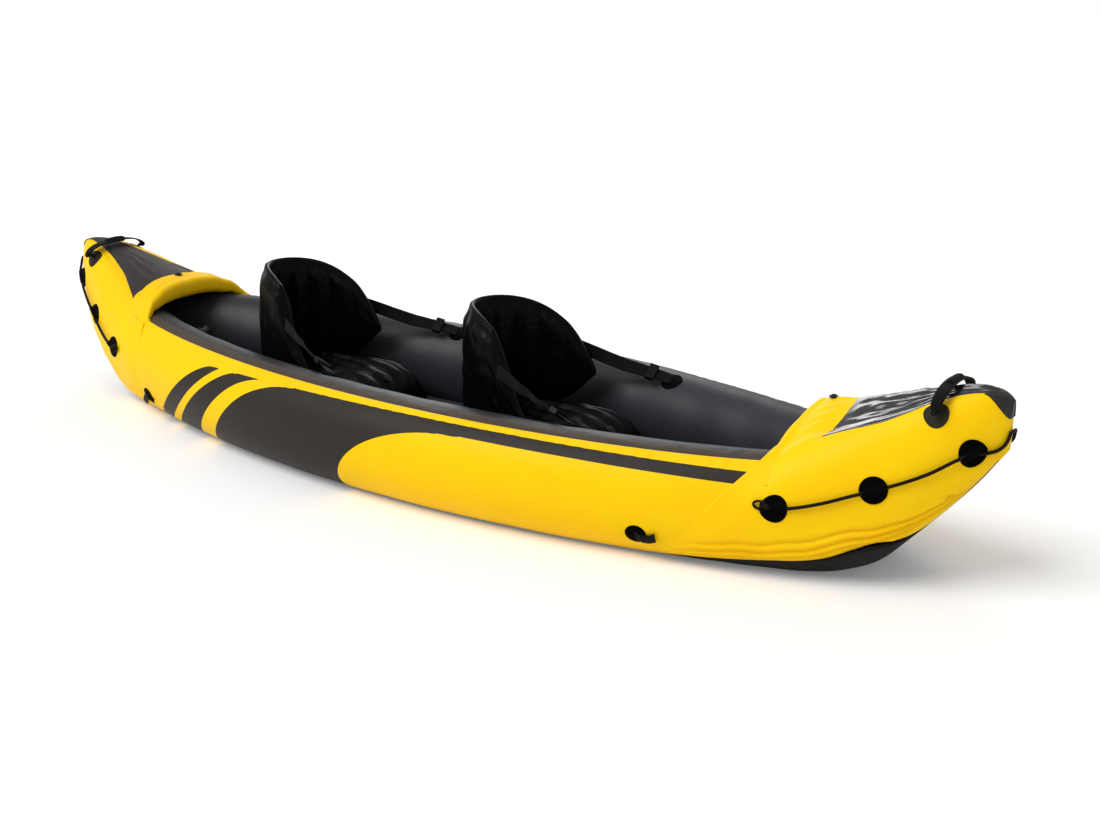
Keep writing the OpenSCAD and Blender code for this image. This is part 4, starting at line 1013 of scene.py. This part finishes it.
for where, (seat_x, seed, slump) in SEATS.items():
    pad = make(where + "_seat_pad", [cushion(seat_x)], seat_vinyl, [where + "_cushion"])
    back = make(where + "_seat_back", [backrest(seat_x, seed, slump)], seat_vinyl,
                [where + "_backrest"], where + "_backrest")
    anchor = disc(tube_side, seat_x + ANCHOR_X, ANCHOR_A, ANCHOR_R, 0.3, 2.9)
    make(where + "_strap_anchors", both_sides([anchor]), patch_rubber,
         [where + "_strap_patches"])
    ribbon = seat_strap(seat_x)
    start, end, *_ = strap_frame(seat_x)
    for side, part, flip in (("starboard", ribbon, 1), ("port", mirrored(ribbon), -1)):
        strap = make("%s_%s_webbing" % (where, side), [part], strap_webbing,
                     ["%s_%s_strap" % (where, side)], None)
        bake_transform(strap)

# CAD pieces that stay, with their own finish
plastic_nodes = ("bow_handle_pins", "stern_handle_pins", "front_strap_buckles", "rear_strap_buckles",
                 "front_seat_hinge", "rear_seat_hinge")
valve_nodes = [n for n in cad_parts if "valve" in n]
for name, material in [(n, black_plastic) for n in plastic_nodes] + [(n, valve_plastic) for n in valve_nodes]:
    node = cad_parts[name]
    node.data.materials.clear()
    node.data.materials.append(material)


# Floor, light and camera

def backdrop():
    """Pale floor that glows a little towards the camera alone."""
    floor = bpy.data.meshes.new("pale_floor")
    floor.from_pydata([(-30, -30, 0), (30, -30, 0), (30, 30, 0), (-30, 30, 0)], [], [(0, 1, 2, 3)])
    obj = placed("pale_floor", floor)
    m, tree, bsdf = finish_of("pale_floor", 0.9, 0.0, 0.1)
    bsdf.inputs["Base Color"].default_value = linear("f6f6f6")
    bsdf.inputs["Emission Color"].default_value = (1, 1, 1, 1)
    seen = add(tree, "LightPath").outputs["Is Camera Ray"]
    glow = add(tree, "Math", {0: seen, 1: 0.13}, operation="MULTIPLY")
    tree.links.new(glow.outputs[0], bsdf.inputs["Emission Strength"])
    floor.materials.append(m)


def facing(back, where):
    """Matrix of a light that shines against the direction back."""
    back = unit(np.array(back, float))
    right = unit(np.cross(np.array([0, 0, 1.0]), back))
    rows = np.stack([right, np.cross(back, right), back], 1).tolist()
    return Matrix([[*row, p] for row, p in zip(rows, where)] + [[0, 0, 0, 1]])


def lamp(name, size, power, where, at=(0, 0, 0.2)):
    """A round soft lamp that looks at a point."""
    light = bpy.data.lights.new(name, "AREA")
    light.shape, light.size, light.energy = "DISK", size, power
    placed(name, light).matrix_world = facing(np.array(where, float) - np.array(at, float), where)


def sun(name, power, spread, towards):
    """Even light from one direction, softened over a spread of degrees."""
    light = bpy.data.lights.new(name, "SUN")
    light.energy, light.angle = power, np.radians(spread)
    placed(name, light).matrix_world = facing(towards, (0, 0, 5))


backdrop()
scene = bpy.context.scene
world = bpy.data.worlds.new("pale_studio")
scene.world = world
world.use_nodes = True
sky = world.node_tree.nodes["Background"]
sky.inputs["Color"].default_value = (1, 1, 1, 1)
seen = add(world.node_tree, "LightPath").outputs["Is Camera Ray"]
level = add(world.node_tree, "MapRange", {"Value": seen, "To Min": 0.5, "To Max": 1.0})
world.node_tree.links.new(level.outputs[0], sky.inputs["Strength"])
sun("key", 2.0, 40, (-0.35, -0.55, 0.75))
lamp("back_panel", 3.0, 60, (-3.0, 4.4, 2.6))

# Camera fitted to the photograph
PHOTO_W, FOCAL_PX, SENSOR = 1100, 1567.6, 36
RIGHT, UP, BACK = (0.82201, 0.56926, 0.01547), (-0.18856, 0.24646, 0.95063), (0.53735, -0.78435, 0.30993)
eye_at = (2.58114, -3.32098, 1.50880)
camera = placed("camera", bpy.data.cameras.new("camera"))
camera.matrix_world = Matrix([[r, u, b, p] for r, u, b, p in zip(RIGHT, UP, BACK, eye_at)] + [[0, 0, 0, 1]])
camera.data.sensor_width = SENSOR
camera.data.lens = SENSOR*FOCAL_PX/PHOTO_W
camera.data.clip_end = 200
scene.camera = camera
scene.view_settings.view_transform = "Standard"
